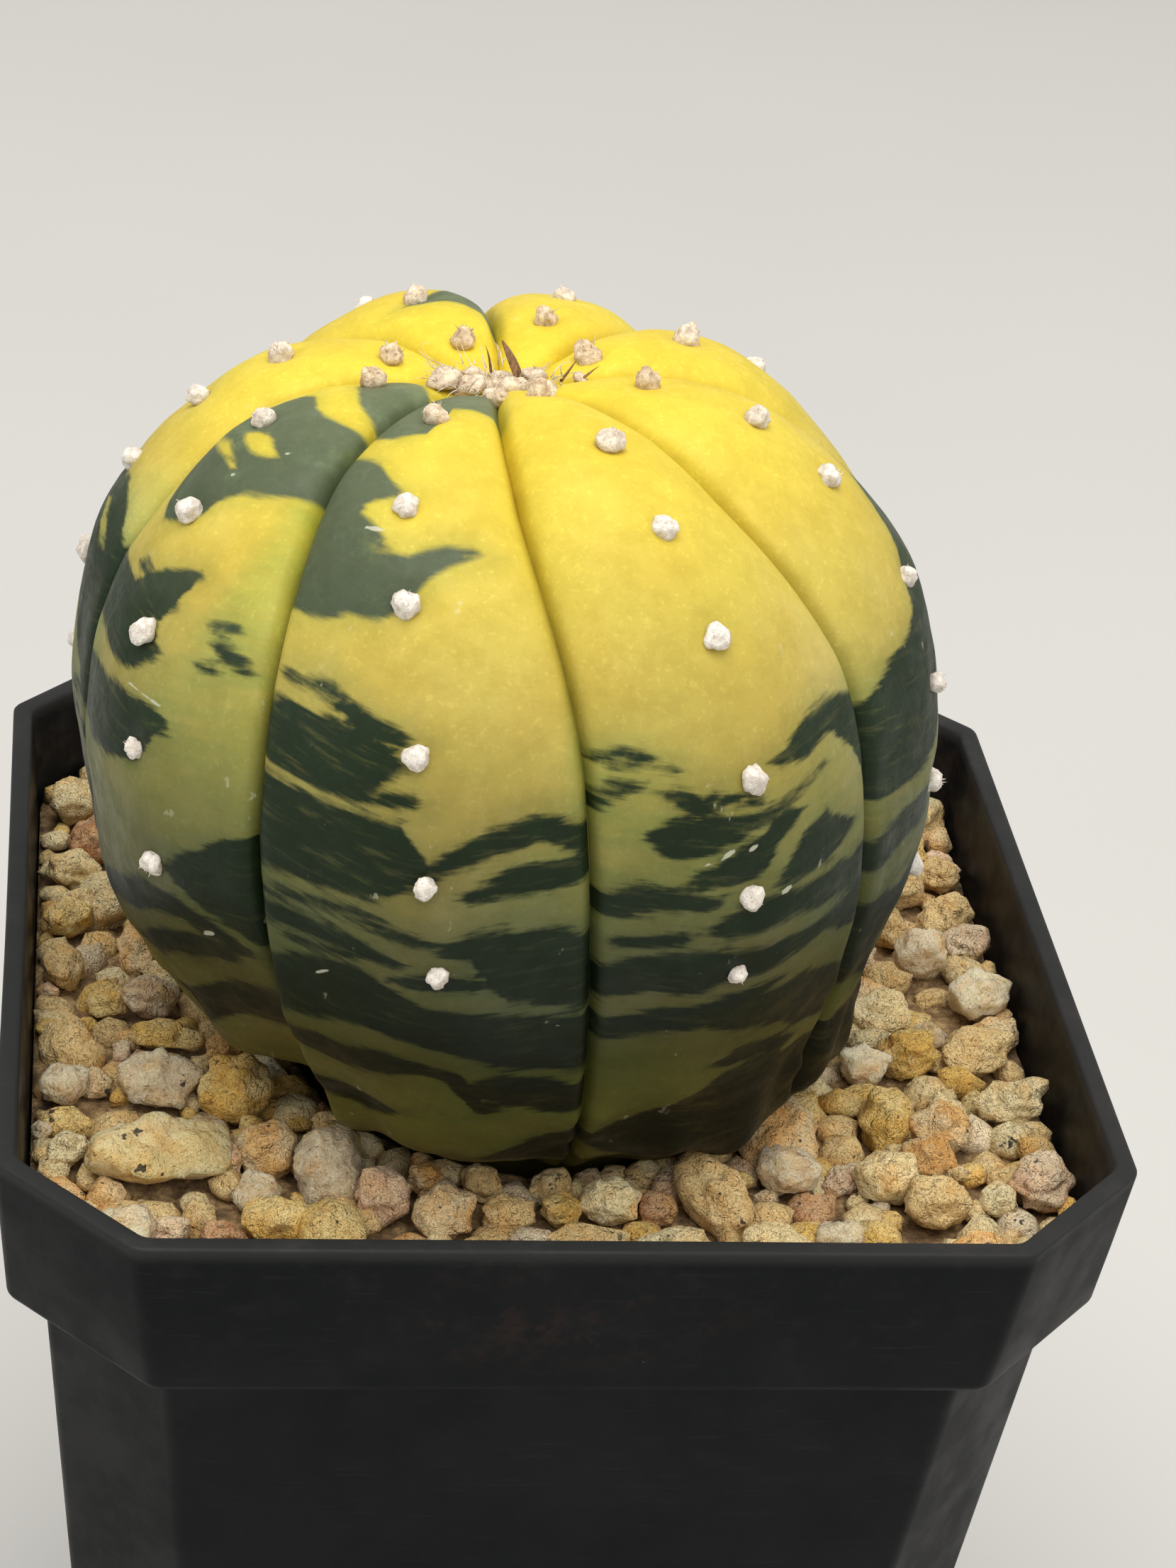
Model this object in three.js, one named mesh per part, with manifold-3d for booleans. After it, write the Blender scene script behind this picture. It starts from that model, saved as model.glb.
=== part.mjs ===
// A variegated sand dollar cactus in a square black plastic pot, top-dressed with coarse
// gravel. Millimetres, +Z up. The origin is at the middle of the pot's foot, and the front
// of the pot faces -Y.

import * as THREE from "three";
import { mergeVertices } from "three/addons/utils/BufferGeometryUtils.js";
import Module from "manifold-3d";

const wasm = await Module();
wasm.setup();
const { Manifold, Mesh: SolidMesh } = wasm;

// Pot, a 7 x 7 x 8 cm nursery pot with cut corners and a deep collar
const potHeight = 80;
const rimHalf = 35;
const rimChamfer = 8.3;
const collarHeight = 11.6;
const collarFootHalf = 34.1;
const collarFootChamfer = 8.7;
const collarEdge = 0.5;
const lipWall = 1.35;
const bodyHalf = 31.85;
const bodyChamfer = 7.4;
const wallTaper = 0.09;
const bodyWall = 1.2;
const cornerRound = 0.9;
const footBar = 4;
const footRecess = 2;
const potFloor = 1.5;
const drainHoleRadius = 3;
const drainHoleSpread = 13;

// Clear distance kept between neighbouring pieces
const gap = 0.3;

// Soil and gravel, as depths below the rim
const soilDepth = 13.8;
const gravelFootDepth = 13.5;
const gravelBedDepth = 6.6;

// Gravel stones, as half lengths. The other sizes are shares of a stone's half length.
const largestStone = 4.3;
const smallestStone = 1.5;
const stoneTries = 2600;
const sizeFalloff = 0.35;
const stoneWidths = [0.62, 0.95];
const stoneHeights = [0.59, 0.81];
const stoneUnevenness = [0.8, 1.1];
const stoneTilt = 0.5;
const stoneLift = 0.16;
const stoneScatter = [-0.4, 0.6];
const stoneSpacing = 0.8;
const stoneHeadroom = 5;
const stoneSeed = 20;

// Cactus, as radius and height above the rim, from the crown over the shoulder to the root.
// It leans towards -X, grew fuller on its front than on its back, sags on its left, and is
// tucked in under its left front.
const crownHeight = 39.6;
const groundLevel = -7;
const groundRadius = 14.6;
const cactusOutline = [
  [0, crownHeight],
  [9, 42],
  [15.5, 41],
  [21, 37],
  [25, 31],
  [26.5, 23],
  [25.5, 14],
  [22.8, 4],
  [20.8, -1.4],
  [groundRadius, groundLevel],
  [11.5, -12],
  [7, -16],
  [0, -17.5],
];
const footCentre = new THREE.Vector2(-1, -3);
const crownCentre = new THREE.Vector2(-5.9, -2);
const fullness = 2.7;
const fullestSide = -90;
const sag = 1.8;
const saggingSide = 190;
const tuck = 2.6;
const tuckedSide = -147;
const tuckStart = 0.68;
const tuckEnd = 0.95;

// The eight seams between the ribs and the crest of the rib that follows each of them, as
// degrees around the axis from +X towards +Y. All of them swirl a little near the crown.
const seamAngles = [-126, -85, -43, 6, 53, 97, 143, 192];
const crestAngles = [-105, -64, -20, 30, 75, 119, 171, 213];
const crownSwirl = 12;
const swirlReach = 34;
const crownSeamDepth = 0.9;
const shoulderSeamDepth = 2.4;
const footSeamDepth = 0.8;
const shoulderShare = 0.28;
const bellyShare = 0.45;
const ribFlatness = 2.3;
const seamSharpness = 0.6;
const rowsAlongRib = 24;
const ribSteps = [-1, -0.93, -0.72, -0.38, 0, 0.38, 0.72, 0.93];

// Areoles, small pads of white wool along each rib's crest
const areoleRadius = 0.95;
const areoleHeight = 1.15;

// Where the areoles sit on each rib: distances from the crown, and how far they drift across
// the rib from the first one to the last
const areoleRows = [
  [11, 18.6, 24.2, 31.7, 38.6, 44.2],
  [6, 14.2, 20, 26, 33.2, 40, 45.3],
  [9.6, 16.2, 21.4, 28.6, 35.4, 41.8, 48],
  [6, 13.1, 20.2, 26.8, 33.6, 40, 46.2],
  [8.2, 15, 21.3, 28.4, 35, 41.6, 48.1],
  [5.4, 12.2, 19, 25.6, 32.8, 39.5, 45.9],
  [6.9, 14.4, 21.2, 27.7, 34.9, 41.3, 47.8],
  [8.3, 16.3, 23.7, 31, 37.3, 43.6],
];
const areoleDrifts = [
  [-0.1, 0.1], [0.14, -0.14], [0.1, -0.1], [-0.05, 0.05],
  [0, 0.08], [0.08, -0.04], [0, 0.05], [-0.4, 0.26],
];

// Crown wool and the dry bract that stands in it
const woolRadius = 1.7;
const tuftRadius = 0.95;
const tuftRing = 2.3;
const tuftCount = 6;
const woolLift = 0.8;
const tuftLift = 1.5;
const bractLength = 4.2;
const bractRadius = 0.7;
const bractLean = -12;

const rimLevel = potHeight;
const toRadians = THREE.MathUtils.degToRad;
const lerp = THREE.MathUtils.lerp;

function seededRandom(seed) {
  let state = seed;
  return () => {
    state = (state * 1664525 + 1013904223) % 4294967296;
    return state / 4294967296;
  };
}

function toSolid(geometry) {
  const bare = geometry.clone();
  bare.deleteAttribute("normal");
  bare.deleteAttribute("uv");
  const merged = mergeVertices(bare, 1e-5);
  return new Manifold(new SolidMesh({
    numProp: 3,
    vertProperties: Float32Array.from(merged.attributes.position.array),
    triVerts: Uint32Array.from(merged.index.array),
  }));
}

function toGeometry(solid) {
  const mesh = solid.getMesh();
  const geometry = new THREE.BufferGeometry();
  geometry.setAttribute("position", new THREE.BufferAttribute(mesh.vertProperties, 3));
  geometry.setIndex(new THREE.BufferAttribute(mesh.triVerts, 1));
  return geometry;
}

// Skins a stack of rings that all have the same number of points, closed by a fan at each end.
function loft(rings, firstPoint, lastPoint) {
  const count = rings[0].length;
  const points = [firstPoint, ...rings.flat(), lastPoint];
  const last = points.length - 1;
  const faces = [];
  for (let i = 0; i < count; i++) {
    const next = (i + 1) % count;
    faces.push(0, 1 + next, 1 + i);
    for (let r = 0; r < rings.length - 1; r++) {
      const low = 1 + r * count;
      const high = low + count;
      faces.push(low + i, low + next, high + next);
      faces.push(low + i, high + next, high + i);
    }
    const top = 1 + (rings.length - 1) * count;
    faces.push(top + i, top + next, last);
  }
  const geometry = new THREE.BufferGeometry();
  geometry.setAttribute(
    "position",
    new THREE.Float32BufferAttribute(points.flatMap((p) => [p.x, p.y, p.z]), 3),
  );
  geometry.setIndex(faces);
  return geometry;
}

// A square ring with cut corners. Each of its eight corners is eased by a short curve.
function squareRing(half, chamfer, z) {
  const side = half - chamfer;
  const corners = [];
  for (let quarter = 0; quarter < 4; quarter++) {
    const turn = quarter * Math.PI / 2;
    for (const corner of [new THREE.Vector2(half, side), new THREE.Vector2(side, half)]) {
      corners.push(corner.rotateAround(new THREE.Vector2(), turn));
    }
  }
  const ring = [];
  corners.forEach((corner, i) => {
    const before = corners[(i + 7) % 8].clone().sub(corner).setLength(cornerRound).add(corner);
    const after = corners[(i + 1) % 8].clone().sub(corner).setLength(cornerRound).add(corner);
    const middle = before.clone().add(after).multiplyScalar(0.25).addScaledVector(corner, 0.5);
    for (const point of [before, middle, after]) {
      ring.push(new THREE.Vector3(point.x, point.y, z));
    }
  });
  return ring;
}

const axisPoint = (z) => new THREE.Vector3(0, 0, z);

// Pot outline
const collarFoot = rimLevel - collarHeight;
const ledgeLevel = collarFoot + bodyWall;
const baseHalf = bodyHalf - wallTaper * collarFoot;
const innerFloor = footRecess + potFloor;
const innerChamfer = bodyChamfer - bodyWall * (Math.SQRT2 - 1) * Math.SQRT2;
const lipEase = 0.25;

const bodyHalfAt = (z) => bodyHalf - wallTaper * (collarFoot - z);
const innerBodyHalfAt = (z) => bodyHalfAt(z) - bodyWall;

function collarHalfAt(z) {
  return lerp(collarFootHalf, rimHalf, (z - collarFoot) / collarHeight);
}

function collarChamferAt(z) {
  return lerp(collarFootChamfer, rimChamfer, (z - collarFoot) / collarHeight);
}

const innerCollarHalfAt = (z) => collarHalfAt(z) - lipWall;
const innerCollarChamferAt = (z) => collarChamferAt(z) - lipWall * (2 - Math.SQRT2);

function makePot() {
  const outside = [
    squareRing(baseHalf - footBar, bodyChamfer - footBar * (2 - Math.SQRT2), footRecess),
    squareRing(baseHalf - footBar, bodyChamfer - footBar * (2 - Math.SQRT2), 0),
    squareRing(baseHalf, bodyChamfer, 0),
    squareRing(bodyHalf, bodyChamfer, collarFoot),
    squareRing(collarFootHalf - collarEdge, collarFootChamfer, collarFoot),
    squareRing(collarFootHalf, collarFootChamfer, collarFoot + collarEdge),
    squareRing(rimHalf, rimChamfer, rimLevel - lipEase),
    squareRing(rimHalf - lipEase, rimChamfer, rimLevel),
  ];
  const inside = [
    squareRing(innerCollarHalfAt(rimLevel), innerCollarChamferAt(rimLevel), rimLevel),
    squareRing(innerCollarHalfAt(ledgeLevel), innerCollarChamferAt(ledgeLevel), ledgeLevel),
    squareRing(innerBodyHalfAt(ledgeLevel), innerChamfer, ledgeLevel),
    squareRing(innerBodyHalfAt(innerFloor), innerChamfer, innerFloor),
  ];
  const shell = loft([...outside, ...inside], axisPoint(footRecess), axisPoint(innerFloor));
  let pot = toSolid(shell);
  const hole = new THREE.CylinderGeometry(drainHoleRadius, drainHoleRadius, 4 * potFloor, 20);
  hole.rotateX(Math.PI / 2);
  for (const [x, y] of [[0, 0], [1, 1], [1, -1], [-1, -1], [-1, 1]]) {
    const cut = hole.clone();
    cut.translate(x * drainHoleSpread, y * drainHoleSpread, innerFloor);
    pot = pot.subtract(toSolid(cut));
  }
  return pot;
}

// The space inside the pot from a level below its inner ledge up to another level, less the
// gap to its walls
function cavityFill(low, high) {
  const ledge = ledgeLevel + gap;
  const lowerRing = (z) => squareRing(innerBodyHalfAt(z) - gap, innerChamfer, z);
  const upperRing = (z) => squareRing(innerCollarHalfAt(z) - gap, innerCollarChamferAt(z), z);
  const rings = [lowerRing(low), lowerRing(Math.min(ledge, high))];
  if (high > ledge) {
    rings.push(upperRing(ledge), upperRing(high));
  }
  return toSolid(loft(rings, axisPoint(low), axisPoint(high)));
}

// Cactus body
const outlineCurve = new THREE.CatmullRomCurve3(
  cactusOutline.map(([radius, height]) => new THREE.Vector3(radius, 0, height)),
  false,
  "centripetal",
);
const outlineLength = outlineCurve.getLength();
const groundDistance = distanceToHeight(groundLevel);

function distanceToHeight(height) {
  let low = 0.3 * outlineLength;
  let high = outlineLength;
  while (high - low > 0.01) {
    const middle = (low + high) / 2;
    if (outlineCurve.getPointAt(middle / outlineLength).z > height) {
      low = middle;
    } else {
      high = middle;
    }
  }
  return low;
}

function bodyCentreAt(height) {
  const share = THREE.MathUtils.clamp((height - groundLevel) / (crownHeight - groundLevel), 0, 1);
  return footCentre.clone().lerp(crownCentre, share);
}

// How much further out the surface stands than the outline, at a distance from the crown
function swellingAt(angle, distance) {
  const share = Math.min(distance / groundDistance, 1);
  const towardsFull = Math.cos(angle - toRadians(fullestSide));
  const towardsSag = Math.max(0, Math.cos(angle - toRadians(saggingSide)));
  const towardsTuck = Math.max(0, Math.cos(angle - toRadians(tuckedSide)));
  return fullness * towardsFull * Math.sin(Math.PI * share)
    - sag * towardsSag * Math.sin(2 * Math.PI * share)
    - tuck * towardsTuck ** 2 * THREE.MathUtils.smoothstep(share, tuckStart, tuckEnd);
}

// Depth of the seams at a distance from the crown: shallow at the crown, deepest over the
// shoulder, shallow again at the foot
function seamDepthAt(distance) {
  const share = distance / groundDistance;
  const toShoulder = THREE.MathUtils.smoothstep(share, 0, shoulderShare);
  const toFoot = THREE.MathUtils.smoothstep(share, bellyShare, 1);
  const depth = lerp(crownSeamDepth, shoulderSeamDepth, toShoulder);
  return lerp(depth, footSeamDepth, toFoot);
}

// How far a rib has fallen away to its seam: 0 on the crest, 1 in the seam at either side
const ribFall = (side) => 1 - (1 - Math.abs(side) ** ribFlatness) ** seamSharpness;

function ribAngle(rib, side, distance) {
  const next = rib + 1 < seamAngles.length ? seamAngles[rib + 1] : seamAngles[0] + 360;
  const seam = side < 0 ? seamAngles[rib] : next;
  const swirl = crownSwirl * (1 - THREE.MathUtils.smoothstep(distance, 0, swirlReach));
  return toRadians(lerp(crestAngles[rib], seam, Math.abs(side)) - swirl);
}

// A point on the body: rib number, place across the rib from -1 to 1, distance from the crown
// along the outline, and how far the surface is grown outwards
function bodyPoint(rib, side, distance, growth = 0) {
  const share = THREE.MathUtils.clamp(distance / outlineLength, 0, 1);
  const point = outlineCurve.getPointAt(share);
  const along = outlineCurve.getTangentAt(share);
  const angle = ribAngle(rib, side, distance);
  const inward = seamDepthAt(distance) * ribFall(side) - swellingAt(angle, distance) - growth;
  const radius = point.x + along.z * inward;
  const height = point.z - along.x * inward;
  const centre = bodyCentreAt(height);
  return new THREE.Vector3(
    centre.x + radius * Math.cos(angle),
    centre.y + radius * Math.sin(angle),
    rimLevel + height,
  );
}

function makeBody(growth) {
  const rings = [];
  for (let row = rowsAlongRib - 1; row >= 1; row--) {
    const distance = outlineLength * row / rowsAlongRib;
    const ring = [];
    for (let rib = 0; rib < seamAngles.length; rib++) {
      for (const side of ribSteps) {
        ring.push(bodyPoint(rib, side, distance, growth));
      }
    }
    rings.push(ring);
  }
  const root = new THREE.Vector3(footCentre.x, footCentre.y, 0);
  root.z = rimLevel + cactusOutline.at(-1)[1] - growth;
  const crown = new THREE.Vector3(crownCentre.x, crownCentre.y, rimLevel + crownHeight + growth);
  return toSolid(loft(rings, root, crown));
}

function areoleAt(rib, side, distance) {
  const step = 0.5;
  const place = bodyPoint(rib, side, distance);
  const down = bodyPoint(rib, side, distance + step).sub(place);
  const across = bodyPoint(rib, side + 0.1, distance).sub(bodyPoint(rib, side - 0.1, distance));
  const outward = down.cross(across).normalize();
  const pad = new THREE.SphereGeometry(1, 6, 4);
  pad.rotateX(Math.PI / 2);
  pad.scale(areoleRadius, areoleRadius, areoleHeight);
  pad.applyQuaternion(
    new THREE.Quaternion().setFromUnitVectors(new THREE.Vector3(0, 0, 1), outward),
  );
  pad.translate(place.x, place.y, place.z);
  return toSolid(pad);
}

function makeCactus() {
  let cactus = makeBody(0);
  areoleRows.forEach((row, rib) => {
    row.forEach((distance, i) => {
      const side = lerp(...areoleDrifts[rib], i / (row.length - 1));
      cactus = cactus.add(areoleAt(rib, side, distance));
    });
  });
  return cactus;
}

function makeCrownWool(bodyClearance) {
  const centre = new THREE.Vector3(crownCentre.x, crownCentre.y, rimLevel + crownHeight);
  const tuft = (radius, x, y, z) => {
    const ball = new THREE.SphereGeometry(radius, 6, 4);
    ball.translate(centre.x + x, centre.y + y, centre.z + z);
    return toSolid(ball);
  };
  let wool = tuft(woolRadius, 0, 0, woolLift);
  for (let i = 0; i < tuftCount; i++) {
    const angle = 2 * Math.PI * i / tuftCount;
    const x = tuftRing * Math.cos(angle);
    const y = tuftRing * Math.sin(angle);
    wool = wool.add(tuft(tuftRadius, x, y, tuftLift));
    wool = wool.add(tuft(tuftRadius, x / 2, y / 2, tuftLift));
  }
  const bract = new THREE.ConeGeometry(bractRadius, bractLength, 6);
  bract.rotateX(Math.PI / 2);
  bract.translate(0, 0, bractLength / 2);
  bract.rotateY(toRadians(bractLean));
  bract.translate(centre.x, centre.y, centre.z + woolLift);
  return wool.add(toSolid(bract)).subtract(bodyClearance);
}

// Gravel stones: twenty-sided chips, uneven and turned at random
const golden = (1 + Math.sqrt(5)) / 2;
const chipCorners = [
  [-1, golden, 0], [1, golden, 0], [-1, -golden, 0], [1, -golden, 0],
  [0, -1, golden], [0, 1, golden], [0, -1, -golden], [0, 1, -golden],
  [golden, 0, -1], [golden, 0, 1], [-golden, 0, -1], [-golden, 0, 1],
];
const chipFaces = [
  0, 11, 5, 0, 5, 1, 0, 1, 7, 0, 7, 10, 0, 10, 11,
  1, 5, 9, 5, 11, 4, 11, 10, 2, 10, 7, 6, 7, 1, 8,
  3, 9, 4, 3, 4, 2, 3, 2, 6, 3, 6, 8, 3, 8, 9,
  4, 9, 5, 2, 4, 11, 6, 2, 10, 8, 6, 7, 9, 8, 1,
];

function makeStone(size, random) {
  const width = size * lerp(...stoneWidths, random());
  const height = size * lerp(...stoneHeights, random());
  const turn = new THREE.Euler(
    lerp(-stoneTilt, stoneTilt, random()),
    lerp(-stoneTilt, stoneTilt, random()),
    2 * Math.PI * random(),
    "ZYX",
  );
  return chipCorners.map(([x, y, z]) => {
    const uneven = lerp(...stoneUnevenness, random());
    const corner = new THREE.Vector3(x, y, z).setLength(uneven);
    return corner.multiply(new THREE.Vector3(size, width, height)).applyEuler(turn);
  });
}

// How far a point stands clear of the cactus, near the ground. The cactus is taken there as a
// cone that widens upwards.
const groundFlare = 1.1;

function clearanceToBody(point) {
  const height = point.z - rimLevel;
  const centre = bodyCentreAt(height);
  const radius = groundRadius + groundFlare * (height - groundLevel);
  return Math.hypot(point.x - centre.x, point.y - centre.y) - radius;
}

// Moves a stone clear of the pot's walls and of the cactus. False if it can't be cleared.
function settleStone(corners, place) {
  const settled = 0.01;
  const wall = innerCollarHalfAt(place.z) - gap;
  const cut = Math.SQRT1_2 * (2 * wall - innerCollarChamferAt(place.z));
  for (let pass = 0; pass < 4; pass++) {
    for (let side = 0; side < 8; side++) {
      const angle = side * Math.PI / 4;
      const normal = new THREE.Vector3(Math.cos(angle), Math.sin(angle), 0);
      const limit = side % 2 === 0 ? wall : cut;
      const reach = Math.max(...corners.map((c) => c.dot(normal))) + place.dot(normal);
      if (reach > limit) {
        place.addScaledVector(normal, limit - reach);
      }
    }
    const inside = Math.min(...corners.map((c) => clearanceToBody(c.clone().add(place))));
    if (inside > gap - settled) {
      return true;
    }
    const away = new THREE.Vector3(place.x - footCentre.x, place.y - footCentre.y, 0);
    place.add(away.setLength(gap - inside));
  }
  return false;
}

function makeGravel(bodyClearance) {
  const random = seededRandom(stoneSeed);
  const placed = [];
  let gravel = cavityFill(rimLevel - gravelFootDepth, rimLevel - gravelBedDepth);
  for (let i = 0; i < stoneTries; i++) {
    const size = lerp(largestStone, smallestStone, (i / stoneTries) ** sizeFalloff);
    const corners = makeStone(size, random);
    const place = new THREE.Vector3(
      lerp(-rimHalf, rimHalf, random()),
      lerp(-rimHalf, rimHalf, random()),
      rimLevel - gravelBedDepth + size * stoneLift + lerp(...stoneScatter, random()),
    );
    const settled = settleStone(corners, place);
    const crowded = placed.some((other) => {
      const apart = Math.hypot(place.x - other.place.x, place.y - other.place.y);
      return apart < stoneSpacing * (size + other.size);
    });
    if (settled && !crowded) {
      placed.push({ size, place });
      const stone = new THREE.BufferGeometry().setFromPoints(corners.map((c) => c.add(place)));
      stone.setIndex(chipFaces);
      gravel = gravel.add(toSolid(stone));
    }
  }
  const cavity = cavityFill(rimLevel - gravelFootDepth, rimLevel + stoneHeadroom);
  return gravel.intersect(cavity).subtract(bodyClearance);
}

function makeSoil(bodyClearance) {
  return cavityFill(innerFloor + gap, rimLevel - soilDepth).subtract(bodyClearance);
}

function piece(name, solid, color, roughness) {
  const material = new THREE.MeshStandardMaterial({ color, roughness, metalness: 0 });
  const mesh = new THREE.Mesh(toGeometry(solid), material);
  mesh.name = name;
  return mesh;
}

const bodyClearance = makeBody(gap);
const part = new THREE.Group();
part.name = "potted_variegated_sand_dollar_cactus";
part.add(piece("pot", makePot(), 0x1c1d20, 0.55));
part.add(piece("soil", makeSoil(bodyClearance), 0x2e2219, 0.95));
part.add(piece("gravel", makeGravel(bodyClearance), 0xb08a55, 0.8));
part.add(piece("cactus", makeCactus(), 0xd2c238, 0.5));
part.add(piece("crown_wool", makeCrownWool(bodyClearance), 0xd8c8ae, 0.95));

export default part;
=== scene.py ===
import itertools
import math

import bmesh
import bpy
import numpy as np
from mathutils import Matrix, Vector


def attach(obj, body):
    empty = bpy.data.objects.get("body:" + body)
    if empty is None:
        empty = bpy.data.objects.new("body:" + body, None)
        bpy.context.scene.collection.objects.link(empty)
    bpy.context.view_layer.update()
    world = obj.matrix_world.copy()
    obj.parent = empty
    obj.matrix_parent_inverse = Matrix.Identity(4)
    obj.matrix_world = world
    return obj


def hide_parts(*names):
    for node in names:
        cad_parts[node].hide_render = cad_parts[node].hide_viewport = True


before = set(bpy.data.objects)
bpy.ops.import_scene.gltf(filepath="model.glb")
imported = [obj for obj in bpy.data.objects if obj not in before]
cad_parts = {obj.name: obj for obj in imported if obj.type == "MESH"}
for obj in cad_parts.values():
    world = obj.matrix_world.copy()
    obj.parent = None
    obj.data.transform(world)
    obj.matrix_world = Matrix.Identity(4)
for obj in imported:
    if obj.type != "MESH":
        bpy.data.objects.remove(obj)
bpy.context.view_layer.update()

# The looks of a variegated sand dollar cactus in a square black pot with gravel. Everything
# below is worked out in millimetres with +Z up, and made a thousand times smaller at the end.
MM = 0.001

# Pot, the same sizes as the solid's
RIM = 80.0
RIM_HALF, RIM_CHAMFER = 35.0, 8.3
COLLAR_HEIGHT = 11.6
COLLAR_FOOT_HALF, COLLAR_FOOT_CHAMFER = 34.1, 8.7
COLLAR_EDGE = 0.5
LIP_WALL = 1.35
BODY_HALF, BODY_CHAMFER = 31.85, 7.4
WALL_TAPER = 0.09
BODY_WALL = 1.2
FOOT_BAR, FOOT_RECESS, POT_FLOOR = 4.0, 2.0, 1.5
DRAIN_RADIUS, DRAIN_SPREAD = 3.0, 13.0
CORNER_ROUND = 0.6
GAP = 0.3
COLLAR_FOOT = RIM - COLLAR_HEIGHT

# Gravel, the same seeded stones as the solid's
GRAVEL_FOOT_DEPTH, GRAVEL_BED_DEPTH = 13.5, 6.6
LARGEST_STONE, SMALLEST_STONE = 4.3, 1.5
STONE_TRIES = 2600
SIZE_FALLOFF = 0.35
STONE_WIDTHS, STONE_HEIGHTS = (0.62, 0.95), (0.59, 0.81)
STONE_UNEVENNESS = (0.8, 1.1)
STONE_TILT = 0.5
STONE_LIFT = 0.16
STONE_SCATTER = (-0.4, 0.6)
STONE_SPACING = 0.8
STONE_SEED = 20

# Cactus, the same outline and ribs as the solid's: radius and height above the rim
CROWN_HEIGHT, GROUND_LEVEL, GROUND_RADIUS = 39.6, -7.0, 14.6
OUTLINE = np.array([
    (0, CROWN_HEIGHT), (9, 42), (15.5, 41), (21, 37), (25, 31), (26.5, 23), (25.5, 14),
    (22.8, 4), (20.8, -1.4), (GROUND_RADIUS, GROUND_LEVEL), (11.5, -12), (7, -16), (0, -17.5),
], float)
FOOT_CENTRE = np.array([-1.0, -3.0])
CROWN_CENTRE = np.array([-5.9, -2.0])
FULLNESS, FULLEST_SIDE = 2.7, -90
SAG, SAGGING_SIDE = 1.8, 190
TUCK, TUCKED_SIDE, TUCK_START, TUCK_END = 2.6, -147, 0.68, 0.95
SEAM_ANGLES = [-126, -85, -43, 6, 53, 97, 143, 192]
CREST_ANGLES = [-105, -64, -20, 30, 75, 119, 171, 213]
CROWN_SWIRL, SWIRL_REACH = 12, 34
CROWN_DEPTH, SHOULDER_DEPTH, FOOT_DEPTH = 0.9, 2.4, 0.8
SHOULDER_SHARE, BELLY_SHARE = 0.28, 0.45
RIB_FLATNESS, SEAM_SHARPNESS = 2.3, 0.6
AREOLE_RADIUS = 0.76
AREOLE_ROWS = [
    [11, 18.6, 24.2, 31.7, 38.6, 44.2],
    [6, 14.2, 20, 26, 33.2, 40, 45.3],
    [9.6, 16.2, 21.4, 28.6, 35.4, 41.8, 48],
    [6, 13.1, 20.2, 26.8, 33.6, 40, 46.2],
    [8.2, 15, 21.3, 28.4, 35, 41.6, 48.1],
    [5.4, 12.2, 19, 25.6, 32.8, 39.5, 45.9],
    [6.9, 14.4, 21.2, 27.7, 34.9, 41.3, 47.8],
    [8.3, 16.3, 23.7, 31, 37.3, 43.6],
]
AREOLE_DRIFTS = [
    (-0.1, 0.1), (0.14, -0.14), (0.1, -0.1), (-0.05, 0.05),
    (0, 0.08), (0.08, -0.04), (0, 0.05), (-0.4, 0.26),
]

# The camera of the photograph, in metres and degrees
PHOTO_WIDTH, PHOTO_HEIGHT = 1659, 2212
CAMERA_PLACE = (-0.03195, -0.2116, 0.2205)
CAMERA_YAW, CAMERA_PITCH, CAMERA_ROLL = 9.22, 31.17, 6.13
FOCAL_PIXELS = 5452.7
SENSOR = 36.0


# Small helpers

def smoothstep(value, low, high):
    t = np.clip((value - low) / (high - low), 0, 1)
    return t * t * (3 - 2 * t)


def lerp(a, b, t):
    return a + (b - a) * t


def unit(vectors):
    return vectors / np.linalg.norm(vectors, axis=-1, keepdims=True)


def lattice(cells, seed):
    """A repeatable number from 0 to 1 for each whole-numbered corner of a lattice."""
    n = cells[..., 0] * 374761393 + cells[..., 1] * 668265263 + cells[..., 2] * 2147483647
    n = (n + seed * 974634777) & 0xFFFFFFFF
    n = ((n ^ (n >> 13)) * 1274126177) & 0xFFFFFFFF
    return ((n ^ (n >> 16)) & 0xFFFFFF) / 0xFFFFFF


def noise(points, size, seed=0):
    """Smooth noise from -1 to 1, with lumps about as large as size, in millimetres."""
    scaled = np.asarray(points, float) / size
    cell = np.floor(scaled).astype(np.int64)
    part = scaled - cell
    part = part * part * (3 - 2 * part)
    total = 0
    for corner in itertools.product((0, 1), repeat=3):
        weight = np.prod(np.where(corner, part, 1 - part), axis=-1)
        total = total + weight * lattice(cell + np.array(corner), seed)
    return 2 * total - 1


def seeded_random(seed):
    """The same sequence of numbers from 0 to 1 as the solid's stones are drawn with."""
    state = seed
    while True:
        state = (state * 1664525 + 1013904223) % 4294967296
        yield state / 4294967296


def turned(heading, tilt):
    """A turn by two tilts, about x and y, and then by a heading about z, in radians."""
    about_x, about_y = (Matrix.Rotation(angle, 3, axis) for angle, axis in zip(tilt, "XY"))
    return np.array(Matrix.Rotation(heading, 3, "Z") @ about_y @ about_x)


def ball(detail):
    """Corners and faces of an icosphere of radius 1."""
    mesh = bmesh.new()
    bmesh.ops.create_icosphere(mesh, subdivisions=detail, radius=1)
    points = np.array([v.co[:] for v in mesh.verts])
    faces = np.array([[v.index for v in f.verts] for f in mesh.faces])
    mesh.free()
    return points, faces


CHIP_DETAIL, TUFT_DETAIL, STONE_DETAIL = 2, 3, 4
BALLS = {detail: ball(detail) for detail in (CHIP_DETAIL, TUFT_DETAIL, STONE_DETAIL)}


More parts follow.
